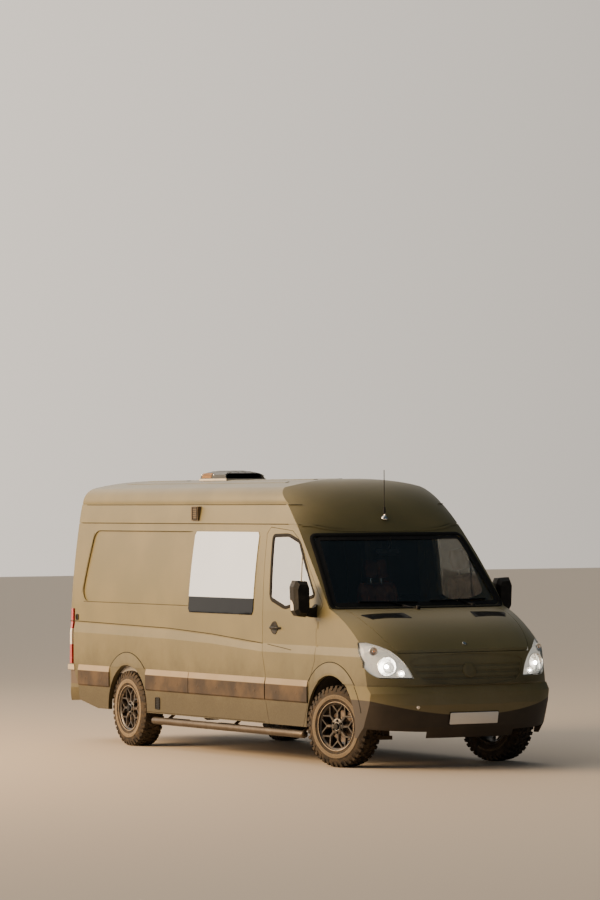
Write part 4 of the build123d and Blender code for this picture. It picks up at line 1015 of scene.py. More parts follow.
def tyre_meshes():
    rows = TYRE_ROWS + [(-x, r) for x, r in reversed(TYRE_ROWS[:-1])]
    carcass = lathe_mesh([(r, x) for x, r in rows], TYRE_STEPS)
    pitch = 2 * math.pi / PITCHES
    blocks = []

    def lump(sign, middle, *edges):
        # two edges of the foot, then two of the top: across, radius, and both ends in shares of a pitch
        points = []
        for (x0, r0, a0, b0), (x1, r1, a1, b1) in (edges[:2], edges[2:]):
            for x, r, share in ((x0, r0, a0), (x1, r1, a1), (x1, r1, b1), (x0, r0, b0)):
                angle = middle + share * pitch
                points.append(Vector((sign * x, math.cos(angle) * r, math.sin(angle) * r)))
        blocks.append((points, [row_face(0, 4)[::-1], row_face(1, 4)] + bands(2, 4)))

    for k in range(PITCHES):
        wide = 0.36 if k % 2 else 0.30
        reach = 0.340 if k % 2 else 0.327
        for sign, shift in ((1, 0.0), (-1, 0.5)):
            middle = (k + shift) * pitch
            lump(sign, middle, (0.060, 0.372, -wide, wide), (0.100, 0.366, -wide, wide),
                 (0.064, 0.3868, -wide * 0.8, wide * 0.8), (0.103, 0.3840, -wide * 0.9, wide * 0.9))
            lump(sign, middle, (0.100, 0.372, -wide * 0.9, wide * 0.9),
                 (0.107, reach, -wide * 0.6, wide * 0.6), (0.1045, 0.3835, -wide * 0.85, wide * 0.85),
                 (0.1185, reach + 0.003, -wide * 0.5, wide * 0.5))
            lump(sign, middle + 0.25 * pitch, (0.008, 0.373, -0.36, 0.16), (0.054, 0.372, -0.20, 0.40),
                 (0.010, 0.3873, -0.32, 0.12), (0.051, 0.3870, -0.16, 0.35))
    ribs = []
    for start in (0.5, 3.64):
        for k in range(26):
            angle = start + k * 0.062
            along = Vector((0, math.cos(angle), math.sin(angle)))
            across = Vector((0, -math.sin(angle), math.cos(angle)))
            for side_x in (1, -1):
                points = []
                for lift, scale in ((0.1205, 1.0), (0.1242, 0.7)):
                    for r, t in ((-0.011, -0.0048), (0.011, -0.0048), (0.011, 0.0048), (-0.011, 0.0048)):
                        out = Vector((side_x * lift, 0, 0))
                        points.append(along * (0.281 + r * scale) + across * t * scale + out)
                ribs.append((points, [(4, 5, 6, 7), (0, 1, 5, 4), (1, 2, 6, 5), (2, 3, 7, 6), (3, 0, 4, 7)]))
    return join_meshes(carcass, *blocks), join_meshes(*ribs)


tyre_rubber, tree, shader = new_finish("dusty tyre rubber", Specular_IOR_Level=0.25)
sand = noise(tree, 16.0, 8.0, Roughness=0.7)
grit = noise(tree, 160.0, 3.0)
dusted = smooth_step(tree, calc(tree, "MULTIPLY_ADD", grit, 0.3, sand), 0.50, 0.85)
two_tones(tree, shader, dusted, (0.012, 0.010, 0.009), (0.070, 0.051, 0.033))
roughen(tree, shader, dusted, 0.2, 0.70)
raise_surface(tree, shader, grit, 0.0010, 0.6)
sandy_ring = noise_finish("sand on the raised ring", 90.0, 4.0, (0.085, 0.065, 0.043),
                          (0.250, 0.200, 0.140), raised=(0.0008, 0.5), Specular_IOR_Level=0.2, Roughness=0.85)
FRONT_STEER = 17.5
KINGPIN_X = 0.790
WHEEL_X = 0.857


def wheel_matrix(sign, front):
    axle = FRONT_AXLE if front else REAR_AXLE
    matrix = Matrix.Translation((sign * WHEEL_X, NOSE + axle, AXLE_HEIGHT))
    if sign < 0:
        matrix = matrix @ Matrix.Rotation(math.pi, 4, "Z")
    if front:
        pin = Matrix.Translation((sign * KINGPIN_X, NOSE + axle, 0))
        matrix = pin @ Matrix.Rotation(math.radians(FRONT_STEER), 4, "Z") @ pin.inverted() @ matrix
    return matrix


def put_on_wheels(label, mesh_data, material, replaced=None, sharp=35.0):
    points, faces = mesh_data
    for sign, side in SIDES:
        for end in ("front", "rear"):
            matrix = wheel_matrix(sign, end == "front")
            moved = [matrix @ Vector(p) for p in points]
            piece = new_piece(f"{end}_{label}_{side}", (moved, faces), material, f"{end}_wheel_{side}",
                              sharp)
            if replaced:
                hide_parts(f"{end}_{replaced}_{side}")


tyre, ribs = tyre_meshes()
put_on_wheels("tyre_tread", tyre, tyre_rubber, "tyre", 30.0)
put_on_wheels("tyre_ribs", ribs, sandy_ring)
ring = [(0.2625, 0.1216), (0.2665, 0.1226), (0.2810, 0.1228), (0.2985, 0.1222), (0.3000, 0.1210)]
outer_ring = lathe_mesh(ring, TYRE_STEPS)
put_on_wheels("tyre_ring", outer_ring, sandy_ring)

# Rims: cast alloy wheels in satin black with eight forked spokes. Dust has settled on
# the outer lip, six bolts hold each rim, and a bright ring sits round the hub cap.
SPOKES = 8
FORK_ANGLE = 18.0
RIM_ROWS = [
    # radius and distance along the axle, from the outer lip through the barrel
    (0.2340, 0.1060), (0.2350, 0.1120), (0.2325, 0.1155), (0.2270, 0.1150), (0.2250, 0.1090),
    (0.2220, 0.1010), (0.2120, 0.0960), (0.2060, 0.0900), (0.2040, 0.0600), (0.1990, 0.0200),
    (0.1990, -0.0850), (0.2080, -0.0980), (0.2230, -0.1020), (0.2280, -0.1100), (0.2330, -0.1120),
    (0.2345, -0.1050), (0.2260, -0.0980), (0.2120, -0.0940), (0.2050, -0.0800), (0.2050, 0.0500),
    (0.2120, 0.0880), (0.2290, 0.0980), (0.2340, 0.1060),
]


def spoke_bar(start, end, start_width, end_width, start_face, end_face, depth):
    # a cast bar between two places (radius along y, x across), with a narrow face
    start = Vector((0, start[0], start[1]))
    end = Vector((0, end[0], end[1]))
    along = (end - start).normalized()
    across = Vector((1, 0, 0)).cross(along)
    points = []
    for place, width, face_x in ((start, start_width, start_face), (end, end_width, end_face)):
        for share, level in ((-0.62, face_x - depth), (-0.5, face_x - 0.007), (-0.30, face_x), (0.30, face_x),
                             (0.5, face_x - 0.007), (0.62, face_x - depth)):
            points.append(place + across * (share * width) + Vector((level, 0, 0)))
    return points, bands(2, 6) + [row_face(0, 6)[::-1], row_face(1, 6)]


def rim_mesh():
    parts = [lathe_mesh(RIM_ROWS, 96)]
    hub = [(0.040, 0.060), (0.074, 0.060), (0.0765, 0.078), (0.0755, 0.0900), (0.0700, 0.0935),
           (0.0430, 0.0945), (0.0400, 0.0920)]
    parts.append(lathe_mesh(hub, 64))
    for k in range(SPOKES):
        turned = Matrix.Rotation(k * math.tau / SPOKES, 4, "X")
        bars = [spoke_bar((0.066, 0), (0.146, 0), 0.034, 0.025, 0.0915, 0.0905, 0.026)]
        for fork in (-1, 1):
            angle = math.radians(FORK_ANGLE) * fork
            foot = (0.140, 0.004 * fork)
            tip = (math.cos(angle) * 0.211, math.sin(angle) * 0.211)
            bars.append(spoke_bar(foot, tip, 0.021, 0.017, 0.0905, 0.0945, 0.026))
        for points, faces in bars:
            parts.append(([turned @ p for p in points], faces))
    return join_meshes(*parts)


rim_black, tree, shader = new_finish("satin black cast alloy", Specular_IOR_Level=0.5, Coat_Weight=0.15,
                                     Coat_Roughness=0.3)
film = noise(tree, 20.0, 6.0)
pits = noise(tree, 220.0)
settled = smooth_step(tree, film, 0.40, 0.85)
two_tones(tree, shader, settled, (0.012, 0.010, 0.009), (0.120, 0.088, 0.058))
roughen(tree, shader, settled, 0.4, 0.33)
raise_surface(tree, shader, pits, 0.0004, 0.5)
put_on_wheels("rim_casting", rim_mesh(), rim_black, "rim")
rim_lip = noise_finish("dusty machined lip", 45.0, 4.0, (0.12, 0.090, 0.062), (0.34, 0.28, 0.21),
                       Metallic=0.4, Roughness=0.5)
lip = [(0.2345, 0.1128), (0.2335, 0.1162), (0.2300, 0.1170), (0.2268, 0.1158), (0.2255, 0.1120)]
put_on_wheels("rim_lip_ring", lathe_mesh(lip, 96), rim_lip)
BOLT_CIRCLE = 0.0560
BOLTS = 6
fixings = []
for k in range(BOLTS):
    angle = math.radians(60 * k + 30)
    place = Vector((0.0925, math.cos(angle) * BOLT_CIRCLE, math.sin(angle) * BOLT_CIRCLE))
    fixings.append(lathe_mesh([(0.0125, 0.0), (0.0120, 0.003), (0.0095, 0.0035), (0.0095, 0.0125),
                               (0.0080, 0.0145), (0.0004, 0.0145)], 12, place))
cap = [(0.0395, 0.088), (0.0395, 0.0975), (0.0365, 0.1010), (0.0330, 0.1012), (0.0300, 0.1150),
       (0.0270, 0.1190), (0.0005, 0.1195)]
fixings.append(lathe_mesh(cap, 48))
put_on_wheels("rim_bolts_and_cap", join_meshes(*fixings), moulded_black)
cap_ring = [(0.0400, 0.0960), (0.0405, 0.1000), (0.0385, 0.1026), (0.0360, 0.1026), (0.0345, 0.1010)]
put_on_wheels("rim_cap_ring", lathe_mesh(cap_ring, 48), chrome)

# Brake discs: plain cast iron discs behind the rims, rusty at the rim and bright where
# the pads run.
brake_iron = noise_finish("brake disc iron", 30.0, 5.0, (0.16, 0.09, 0.05), (0.33, 0.30, 0.27),
                          Metallic=0.8, Roughness=0.45)
disc = [(0.045, -0.010), (0.150, -0.010), (0.1505, 0.004), (0.150, 0.014), (0.090, 0.014), (0.086, 0.038),
        (0.045, 0.040)]
put_on_wheels("brake_disc", lathe_mesh(disc, 72), brake_iron)

# Running gear and underbody: welded and cast steel under black sealant, caked with
# road mud. The exhaust is bare steel that has rusted, and the fuel tank is moulded.
dress(under_steel, "chassis_frame", "front_axle", "rear_axle", "fuel_tank", "knuckle_left", "knuckle_right")
cast_finish = noise_finish("oily cast alloy", 12.0, 7.0, (0.05, 0.045, 0.04), (0.26, 0.25, 0.23),
                           (0.4, 0.3), raised=(0.006, 0.5), Metallic=0.6, Specular_IOR_Level=0.3)
dress(cast_finish, "engine_block")
rusty, tree, shader = new_finish("rusted exhaust steel", Metallic=0.5)
rust = noise(tree, 18.0, 8.0)
two_tones(tree, shader, smooth_step(tree, rust, 0.4, 0.65), (0.21, 0.19, 0.17), (0.16, 0.065, 0.028))
roughen(tree, shader, rust, 0.5, 0.4)
raise_surface(tree, shader, rust, 0.002, 0.5)
dress(rusty, "exhaust")
floor_finish, tree, shader = new_finish("floor panel with mats", Specular_IOR_Level=0.2)
above = smooth_step(tree, position(tree, 2), 0.672, 0.676)
fibres = noise(tree, 260.0)
mats = blend_colours(tree, fibres, (0.012, 0.012, 0.013), (0.050, 0.048, 0.045))
mud = use_group(tree, road_dust, Clean=(0.03, 0.028, 0.020), Dust=(0.12, 0.085, 0.05), Top=0.9, Depth=0.6,
                Amount=0.7, Scale=5.0)
two_tones(tree, shader, above, mud["Color"], mats)
roughen(tree, shader, fibres, 0.2, 0.72)
raise_surface(tree, shader, fibres, 0.0015, 0.6)
dress(floor_finish, "floor_pan")

# Roof vent: a white moulded frame bolted over a hole in the roof, with a smoked acrylic
# dome hinged at its front. Slats close the dome's rear end.
frame_white, tree, shader = new_finish("weathered white plastic", Specular_IOR_Level=0.4)
dirty = use_group(tree, road_dust, Clean=(0.62, 0.60, 0.55), Dust=(0.30, 0.24, 0.16), Top=3.4, Depth=1.0,
                  Amount=0.5, Scale=7.0)
feed(tree, shader.inputs["Base Color"], dirty["Color"])
roughen(tree, shader, dirty["Mask"], 0.3, 0.42)
dress(frame_white, "roof_vent_base")
smoked = noise_finish("smoked acrylic", 8.0, 6.0, (0.016, 0.018, 0.019), (0.075, 0.078, 0.078),
                      (0.25, 0.26), Specular_IOR_Level=0.2)
dress(smoked, "roof_vent_lid")
lid_skin = tree_of("roof_vent_lid")
ABOVE_ROOF = 3.2
lid_low, lid_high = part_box("roof_vent_lid")
ribs = []
for share in (0.22, 0.41, 0.59, 0.78):
    x = lid_low.x + (lid_high.x - lid_low.x) * share
    run = [Vector((x, lid_low.y + (lid_high.y - lid_low.y) * t, ABOVE_ROOF)) for t in (0.14, 0.5, 0.86)]
    laid = [touch(p, DOWN, lid_skin)[0] for p in even(run, 0.03, False)]
    ribs.append(tube_mesh([Vector((p.x, p.y, min(p.z, lid_high.z - 0.004))) for p in laid], 0.0035, 8))
new_piece("vent_lid_ribs", join_meshes(*ribs), smoked, "roof_vent_lid")
slats = []
for share in (0.2, 0.36, 0.52, 0.68):
    height = lid_low.z + (lid_high.z - lid_low.z) * share
    run = [Vector((x, lid_high.y, height)) for x in (-0.150, 0.150)]
    slats.append(bead_mesh(run, AHEAD, raised_section(0.007, 0.004), False, 0.03, lid_skin))
louvre_tan = rubber_finish("tan vent slats", (0.30, 0.17, 0.08), 0.5)
for sign in (-1, 1):
    for share in (0.14, 0.30, 0.46, 0.62):
        height = lid_low.z + (lid_high.z - lid_low.z) * share
        run = [Vector((sign, lid_high.y - reach, height)) for reach in (0.250, 0.040)]
        slats.append(bead_mesh(run, (-sign, 0, 0), raised_section(0.009, 0.004), False, 0.03, lid_skin))
new_piece("vent_lid_slats", join_meshes(*slats), louvre_tan, "roof_vent_lid")
base_low, base_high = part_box("roof_vent_base")
screws = []
base_skin = tree_of("roof_vent_base", "roof_vent_lid")
for sign_x in (-1, 1):
    for sign_y in (-1, 0, 1):
        x = (base_low.x + base_high.x) / 2 + sign_x * ((base_high.x - base_low.x) / 2 - 0.012)
        y = (base_low.y + base_high.y) / 2 + sign_y * ((base_high.y - base_low.y) / 2 - 0.03)
        place, normal = touch((x, y, ABOVE_ROOF), DOWN, base_skin)
        screws.append(lathe_mesh([(0.007, -0.001), (0.007, 0.001), (0.005, 0.0025), (0.0004, 0.003)], 12,
                                 place, normal))
new_piece("vent_base_screws", join_meshes(*screws), chrome, "body")

# Roof fittings: an aerial on a chromed foot at the front, and a brown box vent on the
# right side with slats across it.
fitting_finish, tree, shader = new_finish("brown vent and dark mast", Specular_IOR_Level=0.25)
aside = smooth_step(tree, position(tree, 0), -0.5, -0.6)
dusting = noise(tree, 25.0, 5.0)
brown = blend_colours(tree, dusting, (0.075, 0.055, 0.036), (0.170, 0.135, 0.095))
two_tones(tree, shader, aside, (0.012, 0.012, 0.012), brown)
roughen(tree, shader, dusting, 0.3, 0.4)
dress(fitting_finish, "roof_fittings")
fitting_skin = tree_of("roof_fittings")
box_parts = []
for k in range(6):
    level = 2.340 + 0.020 * k
    box_parts.append(side_bead(-1, [(3.888, level), (3.972, level)], 0.009, 0.004, 0.03, fitting_skin))
rim_rows = side_points(-1, [(3.882, 2.329), (3.982, 2.329), (3.982, 2.455), (3.882, 2.455)])
box_parts.append(bead_mesh(rounded(rim_rows, 0.01), (1, 0, 0), raised_section(0.007, 0.006), True, 0.03,
                           fitting_skin))
new_piece("side_vent_slats", join_meshes(*box_parts), moulded_black, "body")
foot, normal = touch((0.0, NOSE + 1.690, ABOVE_ROOF), DOWN)
foot_rows = [(0.034, -0.004), (0.034, 0.004), (0.028, 0.012), (0.016, 0.022), (0.009, 0.034), (0.006, 0.045)]
new_piece("aerial_foot", lathe_mesh(foot_rows, 32, foot, (0, -0.45, 1)), chrome)

# Sliding door rail: a dark steel channel let into the left side behind the door, closed
# by a cap at its rear end. The door's middle roller runs in it.
RAIL = [(3.775, 1.437), (5.180, 1.437)]
rail = side_bead(1, RAIL, 0.030, 0.004, 0.08)
slot_line = side_bead(1, [(3.780, 1.437), (5.150, 1.437)], 0.008, 0.006, 0.08)
new_piece("sliding_door_rail", join_meshes(rail, slot_line), moulded_black)

# Front roof seam: the joint between the screen's header and the moulded roof cap, filled
# with sealer and painted over.
GUTTER_LINE = [(1.300, 2.203), (1.580, 2.203), (1.720, 2.275), (1.900, 2.285), (2.300, 2.285)]


def gutter_height(station):
    for (s0, z0), (s1, z1) in zip(GUTTER_LINE, GUTTER_LINE[1:]):
        if station <= s1:
            return z0 + (z1 - z0) * max(0.0, station - s0) / (s1 - s0)
    return GUTTER_LINE[-1][1]


SEAM_STEPS = 48
seam = []
for k in range(SEAM_STEPS + 1):
    x = -0.865 + 1.73 * k / SEAM_STEPS
    height = GUTTER_LINE[0][1]
    # the skin's place gives the seam's height, which moves that place, so both settle over some rounds
    for settling in range(8):
        station = touch((x, NOSE, height), BACK)[0].y - NOSE
        height = (height + gutter_height(station)) / 2
    seam.append(Vector((x, NOSE, height + 0.004)))
new_piece("roof_cap_seam", bead_mesh(seam, BACK, raised_section(0.024, 0.0012), False, 0.05), paint,
          "body")

# Rear door seals: a rubber strip closes the gap between the rear doors, and a rain
# channel is bonded above them.
gap_line = [Vector((0.0, -NOSE, z)) for z in (0.66, 1.5, 2.34)]
seal = bead_mesh(gap_line, AHEAD, raised_section(0.014, 0.002), False, 0.05)
new_piece("rear_door_seal", seal, black_rubber, "rear_door_right")
head_line = [Vector((x, -NOSE, 2.410)) for x in (-0.74, 0.74)]
channel = bead_mesh(head_line, AHEAD, raised_section(0.020, 0.010), False, 0.05)
new_piece("rear_rain_channel", channel, black_rubber)

# Cab furniture: the dashboard is grained dark plastic. It has round dials in the
# binnacle, air vents, a radio panel without marks and a short gear lever.
cab_plastic, tree, shader = new_finish("grained cab plastic", Specular_IOR_Level=0.25)
grain = use_group(tree, fine_grain, Scale=520.0, Wear=0.5)
two_tones(tree, shader, grain["Worn"], (0.030, 0.030, 0.031), (0.065, 0.062, 0.058))
roughen(tree, shader, grain["Worn"], 0.2, 0.55)
raise_surface(tree, shader, grain["Height"], 0.0006, 0.6)
dress(cab_plastic, "dashboard")
dash_skin = tree_of("dashboard")
DASH_RAY = NOSE + 2.2


def dash_patch(x0, x1, z0, z1, proud, slats=0):
    corners = [Vector((x, DASH_RAY, z)) for x, z in ((x0, z0), (x1, z0), (x1, z1), (x0, z1))]
    path = even(rounded(corners, 0.012), 0.03)
    parts = [patch_mesh(path, AHEAD, proud, 2, dash_skin)]
    parts.append(bead_mesh(path, AHEAD, raised_section(0.006, proud + 0.003), True, 0.03, dash_skin))
    for k in range(slats):
        level = z0 + (z1 - z0) * (k + 1) / (slats + 1)
        run = [Vector((x0 + 0.01, DASH_RAY, level)), Vector((x1 - 0.01, DASH_RAY, level))]
        parts.append(bead_mesh(run, AHEAD, raised_section(0.006, proud + 0.004), False, 0.05, dash_skin))
    return join_meshes(*parts)


vents = [dash_patch(x - 0.075, x + 0.075, 1.290, 1.370, 0.001, 4) for x in (-0.76, -0.10, 0.10, 0.76)]
vents += [dash_patch(-0.09, 0.09, 1.160, 1.255, 0.002), dash_patch(0.30, 0.70, 1.10, 1.26, 0.002)]
new_piece("dash_vents_and_panels", join_meshes(*vents), moulded_black, "body")
dial_black = noise_finish("dial face", 80.0, 2.0, (0.02, 0.02, 0.02), (0.05, 0.05, 0.05), Roughness=0.5)
dials = []
pointers = []
for x in (-0.485, -0.355):
    place, normal = touch((x, DASH_RAY, 1.415), AHEAD, dash_skin)
    dials.append(lathe_mesh([(0.052, -0.002), (0.052, 0.006), (0.048, 0.006), (0.047, 0.002),
                             (0.0005, 0.002)], 40, place, normal))
    for k in range(11):
        angle = math.radians(-40 + 26 * k)
        up = (Vector(UP) - normal * normal.z).normalized()
        side_way = up.cross(normal)
        way = side_way * math.cos(angle) + up * math.sin(angle)
        start = place + way * 0.034 + normal * 0.003
        pointers.append(tube_mesh([start, start + way * 0.009], 0.0009, 6))
new_piece("dash_dials", join_meshes(*dials), dial_black, "body")
new_piece("dash_dial_marks", join_meshes(*pointers), frame_white, "body")
lever_foot = Vector((-0.02, NOSE + 1.66, 1.10))
lever = tube_mesh([lever_foot + Vector((0, -0.08, -0.02)), lever_foot,
                   lever_foot + Vector((0, 0.03, 0.07))], 0.007, 12)
knob = lathe_mesh([(0.004, 0.0), (0.018, 0.006), (0.025, 0.022), (0.023, 0.040), (0.012, 0.050),
                   (0.0005, 0.052)], 24, lever_foot + Vector((0, 0.028, 0.062)), (0, 0.3, 1))
gaiter = lathe_mesh([(0.050, -0.050), (0.046, -0.030), (0.030, -0.015), (0.014, 0.010)], 24,
                    lever_foot + Vector((0, -0.03, -0.005)), (0, 0.4, 1))
new_piece("gear_lever", join_meshes(lever, knob, gaiter), moulded_black, "body")
mirror_path = [Vector((x, NOSE + 1.640, z)) for x, z in ((-0.125, 1.985), (0.105, 1.985), (0.125, 2.020),
                                                         (0.105, 2.055), (-0.125, 2.055), (-0.145, 2.020))]
count = len(mirror_path)
shell = mirror_path + [p + Vector((0, -0.030, 0)) for p in mirror_path]
shell += [Vector((p.x * 0.7, NOSE + 1.595, 2.02 + (p.z - 2.02) * 0.7)) for p in mirror_path]
shell_faces = [row_face(2, count)] + bands(3, count)
stem = tube_mesh([(-0.01, NOSE + 1.60, 2.03), (-0.01, NOSE + 1.56, 2.10), (-0.01, NOSE + 1.55, 2.15)],
                 0.010, 12)
new_piece("cab_mirror_shell", join_meshes((shell, shell_faces), stem), moulded_black, "body")
cab_glass = [p + Vector((0, 0.001, 0)) for p in mirror_path]
new_piece("cab_mirror_glass", (cab_glass, [row_face(0, count)]), mirror_face, "body")

# Steering wheel: a foam rim with a leather-like skin on a steel frame. The middle pad
# is plain.
leather_skin, tree, shader = new_finish("black wheel rim skin", Specular_IOR_Level=0.35)
grain = use_group(tree, fine_grain, Scale=700.0, Wear=0.9)
two_tones(tree, shader, grain["Worn"], (0.020, 0.019, 0.019), (0.070, 0.062, 0.055))
roughen(tree, shader, grain["Worn"], -0.2, 0.55)
raise_surface(tree, shader, grain["Height"], 0.0005, 0.5)
dress(leather_skin, "steering_wheel")
COLUMN_TILT = 35.0
GRIP_CIRCLE = 0.190
GRIP_RADIUS = 0.0158
STITCHES = 72
wheel_middle = Vector((-0.420, NOSE + 1.760, 1.290))
column = Matrix.Rotation(math.radians(-90 + COLUMN_TILT), 3, "X")
wheel_axis = column @ Vector(UP)
pad = [(0.062, -0.010), (0.064, 0.012), (0.056, 0.022), (0.040, 0.028), (0.020, 0.031), (0.0005, 0.032)]
new_piece("steering_wheel_pad", lathe_mesh(pad, 40, wheel_middle, wheel_axis), leather_skin,
          "steering_wheel")
stitches = []
for k in range(STITCHES):
    angle = 2 * math.pi * k / STITCHES
    first = column @ Vector((math.cos(angle), math.sin(angle), 0))
    inner = wheel_middle + first * (GRIP_CIRCLE - GRIP_RADIUS)
    stitches.append(tube_mesh([inner - wheel_axis * 0.004, inner + wheel_axis * 0.004], 0.0009, 6))
new_piece("steering_wheel_stitches", join_meshes(*stitches), leather_skin, "steering_wheel")

# Cab seats: two single seats with moulded black bases. Their foam is covered in brown
# leather, sewn in upright channels, and each head rest stands on two steel posts.
leather, tree, shader = new_finish("brown seat leather", Specular_IOR_Level=0.35, Sheen_Weight=0.1)
creases = add(tree, "TexVoronoi", Vector=object_place(tree), Scale=240.0,
              feature="DISTANCE_TO_EDGE").outputs[0]
tone_mix = noise(tree, 7.0, 6.0)
pores = noise(tree, 500.0)
rubbed = smooth_step(tree, tone_mix, 0.42, 0.75)
two_tones(tree, shader, rubbed, (0.210, 0.070, 0.040), (0.400, 0.175, 0.105))
roughen(tree, shader, rubbed, -0.15, 0.52)
wrinkle = calc(tree, "MULTIPLY_ADD", pores, 0.3, smooth_step(tree, creases, 0.0, 0.12))
raise_surface(tree, shader, wrinkle, 0.0008, 0.4)
SEAT_X = 0.430
SEAT_BASE = [(1.960, 0.680), (2.380, 0.680), (2.350, 0.955), (1.990, 0.955)]
SEAT_CUSHION = [
    (2.425, 0.968), (2.432, 1.040), (2.400, 1.068), (2.290, 1.072), (2.150, 1.078), (2.000, 1.092),
    (1.915, 1.102), (1.886, 1.075), (1.880, 1.030), (1.905, 0.972),
]
SEAT_BACK = [
    (2.412, 1.050), (2.440, 1.018), (2.492, 1.008), (2.520, 1.045), (2.560, 1.180), (2.604, 1.340),
    (2.640, 1.540), (2.652, 1.680), (2.620, 1.716), (2.566, 1.694), (2.530, 1.560), (2.488, 1.380),
    (2.440, 1.190),
]
HEAD_REST = [(2.584, 1.752), (2.612, 1.742), (2.656, 1.748), (2.676, 1.800), (2.690, 1.885), (2.668, 1.930),
             (2.630, 1.930), (2.604, 1.890), (2.588, 1.810)]


def foam_block(rows, half_width, round_edge):
    # a side outline given width, with its two flat ends drawn in and rounded
    count = len(rows)
    middle_s = sum(s for s, z in rows) / count
    middle_z = sum(z for s, z in rows) / count
    levels = [(-half_width, 0.72), (-half_width + round_edge * 0.35, 0.92), (-half_width + round_edge, 1.0)]
    steps = 10
    flat = 2 * half_width - 2 * round_edge
    levels += [(-half_width + round_edge + flat * k / steps, 1.0) for k in range(1, steps)]
    levels += [(-x, r) for x, r in reversed(levels[:3])]
    points = []
    for x, reach in levels:
        for s, z in rows:
            station = NOSE + middle_s + (s - middle_s) * reach
            points.append(Vector((x, station, middle_z + (z - middle_z) * reach)))
    faces = [row_face(0, count)[::-1], row_face(len(levels) - 1, count)] + bands(len(levels), count)
    return points, faces


def settled_mesh(piece):
    graph = bpy.context.evaluated_depsgraph_get()
    mesh = bpy.data.meshes.new_from_object(piece.evaluated_get(graph))
    piece.modifiers.clear()
    piece.data = mesh


CLOTH_FRAMES = 20


def swell(piece, voxel, cap, pressure=4.0):
    # the foam fills its cover: an even mesh is blown up a little as cloth, then smoothed
    remesh = piece.modifiers.new("even mesh", "REMESH")
    remesh.mode = "VOXEL"
    remesh.voxel_size = voxel
    settled_mesh(piece)
    still = [vertex.co.copy() for vertex in piece.data.vertices]
    cloth = piece.modifiers.new("cover", "CLOTH")
    cloth.settings.quality = 5
    cloth.settings.mass = 0.3
    cloth.settings.tension_stiffness = 15
    cloth.settings.compression_stiffness = 15
    cloth.settings.use_pressure = True
    cloth.settings.uniform_pressure_force = pressure
    cloth.settings.effector_weights.gravity = 0
    cloth.point_cache.frame_start = 1
    cloth.point_cache.frame_end = CLOTH_FRAMES
    scene = bpy.context.scene
    for step in range(1, CLOTH_FRAMES + 1):
        scene.frame_set(step)
    settled_mesh(piece)
    for vertex, start in zip(piece.data.vertices, still):
        move = vertex.co - start
        if move.length > cap:
            vertex.co = start + move.normalized() * cap
    scene.frame_set(1)


def sew(piece, channels, width, depth):
    # presses the sewn channels in: each is a function that gives the distance to its seam
    mesh = piece.data
    normals = [vertex.normal.copy() for vertex in mesh.vertices]
    for vertex, normal in zip(mesh.vertices, normals):
        sink = max(math.exp(-(channel(vertex.co) / width) ** 2) for channel in channels)
        vertex.co -= normal * (depth * sink)
    smooth = piece.modifiers.new("finer", "SUBSURF")
    smooth.levels = 1
    smooth.render_levels = 1
    settled_mesh(piece)
    piece.data.shade_smooth()


def seat_pad(name, rows, half_width, round_edge, voxel, channels):
    block = foam_block(rows, half_width, round_edge)
    pad_piece = new_piece(name + "_left", block, leather, "body")
    swell(pad_piece, voxel, 0.016)
    sew(pad_piece, channels, 0.010, 0.009)
    mesh = pad_piece.data.copy()
    other = bpy.data.objects.new(name + "_right", mesh)
    bpy.context.collection.objects.link(other)
    for piece, x in ((pad_piece, SEAT_X), (other, -SEAT_X)):
        for vertex in piece.data.vertices:
            vertex.co.x += x
    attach(other, "body")
    return pad_piece, other


inner_lines = [lambda p, x=x: abs(p.x - x) for x in (-0.155, -0.052, 0.052, 0.155)]
seat_pad("seat_cushion", SEAT_CUSHION, 0.238, 0.030, 0.010, inner_lines)
cross_line = [lambda p: abs(p.z - 1.235) if abs(p.x) < 0.155 else 1.0]
seat_pad("seat_back", SEAT_BACK, 0.228, 0.030, 0.010, inner_lines + cross_line)
seat_pad("head_rest", HEAD_REST, 0.126, 0.024, 0.009, [lambda p: abs(p.x)])
bases = []
posts = []
for sign, side in SIDES:
    x = sign * SEAT_X
    low = [Vector((x + w, NOSE + s, z)) for w in (-0.205, 0.205) for s, z in SEAT_BASE]
    bases.append((low, [(0, 1, 2, 3), (7, 6, 5, 4), (0, 4, 5, 1), (1, 5, 6, 2), (2, 6, 7, 3), (3, 7, 4, 0)]))
    for edge in (-0.222, 0.222):
        bases.append(block_mesh((x + edge - 0.014, NOSE + 1.940, 0.905),
                                (x + edge + 0.014, NOSE + 2.420, 0.965), 0.006))
    for post in (-0.060, 0.060):
        line = [(x + post, NOSE + 2.619, 1.690), (x + post, NOSE + 2.630, 1.765)]
        posts.append(tube_mesh(line, 0.0065, 12))
    recline = (x - sign * 0.246, NOSE + 2.420, 1.060)
    posts.append(lathe_mesh([(0.034, -0.004), (0.034, 0.006), (0.027, 0.012), (0.0005, 0.013)], 20, recline,
                            (-sign, 0, 0)))
base_piece = new_piece("seat_bases", join_meshes(*bases), cab_plastic, "body")
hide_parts("seats")
new_piece("head_rest_posts", join_meshes(*posts), chrome, "body")

